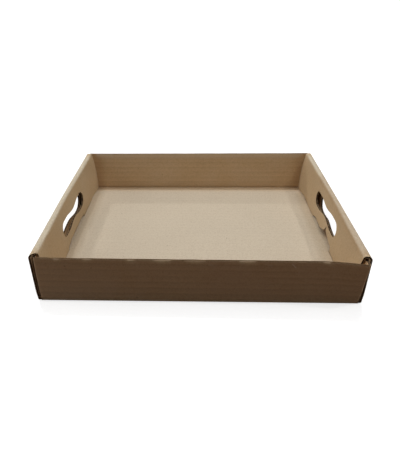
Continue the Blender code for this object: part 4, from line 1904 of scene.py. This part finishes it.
@dataclass(frozen=True)
class Studio:
    """The camera at the photograph's angle, the lamps overhead and a pale floor."""

    image_height: float = 457.0
    image_width: float = 400.0
    focal_pixels: float = 439.58
    middle_pixel: float = 178.56
    tilt: float = math.radians(31.299)
    yaw: float = math.radians(-2.785)
    roll: float = math.radians(-1.205)
    eye: tuple[float, float, float] = (-1.264 * MM, -588.457 * MM, 370.495 * MM)
    sensor: float = 36.0
    nearest: float = 10.0 * MM
    furthest: float = 100.0
    world_strength: float = 0.03
    floor_size: float = 9.0
    floor_colour: Colour = (0.60, 0.60, 0.60, 1.0)
    floor_bounce: Colour = (0.16, 0.076, 0.037, 1.0)
    floor_glow: float = 0.70
    glow_rise: float = 0.5
    glow_start: float = 0.5
    glow_full: float = 1.6

    def camera(self) -> None:
        """Place the camera that the photograph was solved for."""
        reach = math.cos(self.tilt)
        heading = math.sin(self.yaw), math.cos(self.yaw)
        ahead = Vector((heading[0] * reach, heading[1] * reach, -math.sin(self.tilt)))
        level = Vector((math.cos(self.yaw), -math.sin(self.yaw), 0.0))
        up = level.cross(ahead)
        right = math.cos(self.roll) * level + math.sin(self.roll) * up
        top = -math.sin(self.roll) * level + math.cos(self.roll) * up
        lens = bpy.data.cameras.new("camera")
        lens.sensor_fit = "VERTICAL"
        lens.sensor_height = self.sensor
        lens.lens = self.focal_pixels * self.sensor / self.image_height
        lens.shift_x = (self.image_width / 2 - self.middle_pixel) / self.image_height
        lens.clip_start = self.nearest
        lens.clip_end = self.furthest
        camera = new_object("camera", lens)
        axes = Matrix((right, top, -ahead)).transposed()
        camera.matrix_world = Matrix.Translation(Vector(self.eye)) @ axes.to_4x4()
        bpy.context.scene.camera = camera

    def world(self) -> None:
        """Set a low even light all round, with a white backdrop behind it."""
        world = bpy.data.worlds.new("studio")
        world.use_nodes = True
        bpy.context.scene.world = world
        graph = Graph(world.node_tree)
        path = graph.add("ShaderNodeLightPath").outputs
        seen = graph.maths("MAXIMUM", path["Is Camera Ray"], path["Is Transmission Ray"])
        strength = graph.raised(self.world_strength, seen, 1.0 - self.world_strength)
        back = graph.add("ShaderNodeBackground", {"Color": WHITE, "Strength": strength})
        graph.add("ShaderNodeOutputWorld", {"Surface": back.outputs[0]})

    def floor(self) -> None:
        """Lay the pale floor, which keeps the tray's shadow and throws back little light."""
        bm = bmesh.new()
        bmesh.ops.create_grid(bm, x_segments=1, y_segments=1, size=self.floor_size)
        mesh = bpy.data.meshes.new("studio_floor")
        bm.to_mesh(mesh)
        bm.free()
        floor = new_object("studio_floor", mesh)
        material, graph = new_material("pale_floor")
        path = graph.add("ShaderNodeLightPath").outputs
        seen = graph.maths("MAXIMUM", path["Is Camera Ray"], path["Is Glossy Ray"])
        seen = graph.maths("MAXIMUM", seen, path["Is Transmission Ray"])
        place = graph.add("ShaderNodeTexCoord").outputs["Object"]
        away = graph.vectors("LENGTH", {0: place})[1]
        far = graph.fade(away, self.glow_start, self.glow_full)
        strength = graph.raised(self.floor_glow, far, self.glow_rise)
        pale = graph.add("ShaderNodeBsdfDiffuse", {"Color": self.floor_colour})
        glow = graph.add("ShaderNodeEmission", {"Color": WHITE, "Strength": strength})
        lit = graph.add("ShaderNodeAddShader", {0: pale.outputs[0], 1: glow.outputs[0]})
        dull = graph.add("ShaderNodeBsdfDiffuse", {"Color": self.floor_bounce})
        inputs = {0: seen, 1: dull.outputs[0], 2: lit.outputs[0]}
        surface = graph.add("ShaderNodeMixShader", inputs)
        graph.add("ShaderNodeOutputMaterial", {"Surface": surface.outputs[0]})
        mesh.materials.append(material)

    def build(self) -> None:
        """Set up the whole studio."""
        bpy.context.scene.view_settings.view_transform = "Standard"
        self.camera()
        for lamp in LAMPS:
            lamp.build()
        self.world()
        self.floor()


FRONT_WALL = Wall(
    end=End.FRONT,
    drop=1.4 * MM,
    lean=5.0 * MM,
    skew=1.5 * MM,
    flares={Side.LEFT: -1.0 * MM, Side.RIGHT: 5.5 * MM},
    tucks={Side.LEFT: 2.2 * MM, Side.RIGHT: 1.2 * MM},
)
BACK_WALL = Wall(
    end=End.BACK,
    drop=0.7 * MM,
    lean=1.9 * MM,
    skew=-0.3 * MM,
    flares={Side.LEFT: 0.8 * MM, Side.RIGHT: 0.8 * MM},
    tucks={Side.LEFT: -1.0 * MM, Side.RIGHT: -1.0 * MM},
)
PANELS = {
    Side.LEFT: EndPanel(
        side=Side.LEFT,
        near_insets=(3.7 * MM, 8.7 * MM, 10.0 * MM),
        far_insets=(0.3 * MM, 0.3 * MM, 3.6 * MM),
        outer_centre=34.5 * MM,
        inner_centre=36.7 * MM,
        outer_bow=1.0 * MM,
        inner_bow=2.4 * MM,
        dents=(Dent(6.2 * MM, 38.0 * MM, 80.0 * MM, 50.0 * MM),),
    ),
    Side.RIGHT: EndPanel(
        side=Side.RIGHT,
        near_insets=(3.6 * MM, 4.4 * MM, 6.5 * MM),
        far_insets=(1.0 * MM, 1.0 * MM, 3.6 * MM),
        outer_centre=32.0 * MM,
        inner_centre=38.6 * MM,
        outer_bow=0.2 * MM,
        inner_bow=0.0,
        dents=(
            Dent(4.4 * MM, -28.0 * MM, 70.0 * MM, 70.0 * MM),
            Dent(-1.2 * MM, 50.0 * MM, 60.0 * MM, 60.0 * MM),
        ),
        tear=Tear(),
    ),
}


CRUSHES = (
    Crush(-171.5 * MM, 9.0 * MM, 0.8 * MM),
    Crush(-133.5 * MM, 12.0 * MM, 0.9 * MM),
    Crush(-80.0 * MM, 11.0 * MM),
    Crush(-43.0 * MM, 24.0 * MM, 1.1 * MM),
    Crush(-3.0 * MM, 28.0 * MM, 0.8 * MM),
    Crush(59.0 * MM, 22.0 * MM, 1.1 * MM),
    Crush(151.5 * MM, 9.0 * MM),
)
# The broad marks are painted shade and painted light over whole areas, and the narrow ones are specks
# and scratches.
OUTSIDE_MARKS = (
    # Painted shade over the right half of the front wall.
    *marks(SHADE_BROWN, 0.13, (40.0, -200.0, 185.0, -190.0, 42.0)),
    # Painted shade on the right rolled top.
    *marks(SHADE_BROWN, 0.30, (268.5, -150.0, 269.5, 60.0, 10.0)),
    # Painted light at the left end of the front wall.
    *marks(PALE_FIBRE_AND_LIGHT, 0.07, (-185.0, -190.0, -130.0, -190.0, 34.0)),
    *marks(PALE_FIBRE_AND_LIGHT, 0.45, (111.7, -226.7, 116.3, -221.5, 0.7)),
    *marks(PALE_FIBRE_AND_LIGHT, 0.10, (14.0, -224.5, 18.0, -223.8, 1.6), (83.0, -225.0, 88.0, -224.3, 1.4)),
    *marks(
        DARK_FIBRE_AND_SHADE,
        0.55,
        (-162.4, -219.7, -161.6, -219.3, 0.6),
        (-129.9, -217.2, -129.5, -217.2, 0.7),
        (-76.8, -169.8, -76.2, -169.8, 0.7),
    ),
)
INSIDE_MARKS = (
    # Painted shade inside the rolled ends.
    *marks(DARK_FIBRE_AND_SHADE, 0.85, (-260.0, -140.0, -277.0, -140.0, 9.0)),
    *marks(DARK_FIBRE_AND_SHADE, 0.5, (262.0, -144.0, 276.0, -144.0, 6.0)),
    # Painted shade at the ends of the back wall.
    *marks(SHADE_BROWN, 0.38, (-196.0, 162.0, -194.0, 225.0, 20.0)),
    *marks(SHADE_BROWN, 0.28, (196.0, 162.0, 194.0, 225.0, 20.0)),
    # Painted shadow on the floor beside the end panels.
    *marks(SHADED, 0.20, (-187.0, -150.0, -184.0, 150.0, 12.0), (186.0, -150.0, 187.0, 130.0, 11.0)),
    # Painted light along the top of the back wall.
    *marks(PALE_FIBRE_AND_LIGHT, 0.20, (-180.0, 231.0, 180.0, 231.0, 9.0)),
    *marks(
        DARK_FIBRE_AND_SHADE,
        0.5,
        (-130.4, 60.2, -129.6, 60.6, 0.7),
        (45.0, -17.9, 45.3, -16.6, 0.7),
        (-45.6, -38.1, -45.2, -38.1, 0.6),
        (-110.7, 202.0, -110.6, 201.4, 0.7),
        (-66.5, 189.9, -66.3, 189.9, 0.7),
        (-2.9, 169.5, -2.4, 169.3, 0.7),
        (-52.8, 207.7, -52.6, 207.7, 0.5),
    ),
    *marks(SCRATCHED, 0.35, (-149.9, 6.9, -144.1, 6.1, 0.6), (-147.4, -67.6, -143.1, -67.1, 0.8)),
    *marks(PALE_FIBRE_AND_LIGHT, 0.35, (-185.0, 228.9, -159.0, 228.6, 0.7), (-157.6, 229.5, -157.8, 223.1, 0.5)),
    *marks(DARK_FIBRE_AND_SHADE, 0.45, (-155.1, 230.6, -140.4, 230.8, 0.8)),
)


# The outside liner's brown is darker than the inside's, partly as painted shade on the front wall.
OUTSIDE_BROWN = (0.52, 0.373, 0.213, 1.0)
# The outside liner's paler colour where it faces up: painted light from above.
OUTSIDE_TOP_LIGHT = (0.60, 0.515, 0.385, 1.0)
CUT_COLOURS = (0.33, 0.23, 0.14, 1.0), (0.15, 0.09, 0.05, 1.0)
FLUTING_COLOURS = (0.20, 0.13, 0.075, 1.0), (0.09, 0.052, 0.028, 1.0)


def main() -> None:
    """Build the tray's board and the studio, and report each piece."""
    logging.basicConfig(level=logging.INFO, format="%(name)s: %(message)s")
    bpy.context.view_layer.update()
    walls = {End.FRONT: FRONT_WALL, End.BACK: BACK_WALL}
    blank = Blank(walls=walls, panels=PANELS, crushes=CRUSHES)
    outside = KraftPaper(
        "outside_kraft",
        OUTSIDE_MARKS + RubbedEdge(CRUSHES).marks(blank),
        brown=OUTSIDE_BROWN,
        top_light=OUTSIDE_TOP_LIGHT,
    ).build()
    inside = KraftPaper("inside_kraft", INSIDE_MARKS, valley_shade=0.6).build()
    cut = CutPaper("cut_edge", *CUT_COLOURS).build()
    fluting = CutPaper("fluting_paper", *FLUTING_COLOURS).build()
    shared = {"blank": blank, "edge_finish": cut}
    pieces = [
        Liner("outside_liner", face=Face.OUTSIDE, seed=3.0, finish=outside, **shared).build(),
        Liner("inside_liner", face=Face.INSIDE, seed=11.0, finish=inside, **shared).build(),
        FlutedSheet("fluted_sheet", blank, fluting).build(),
    ]
    for piece in pieces:
        put_in_place(piece)
        LOG.info("%s: %d faces", piece.name, len(piece.data.polygons))
    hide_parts(NODE)
    Studio().build()


if __name__ == "__main__":
    main()
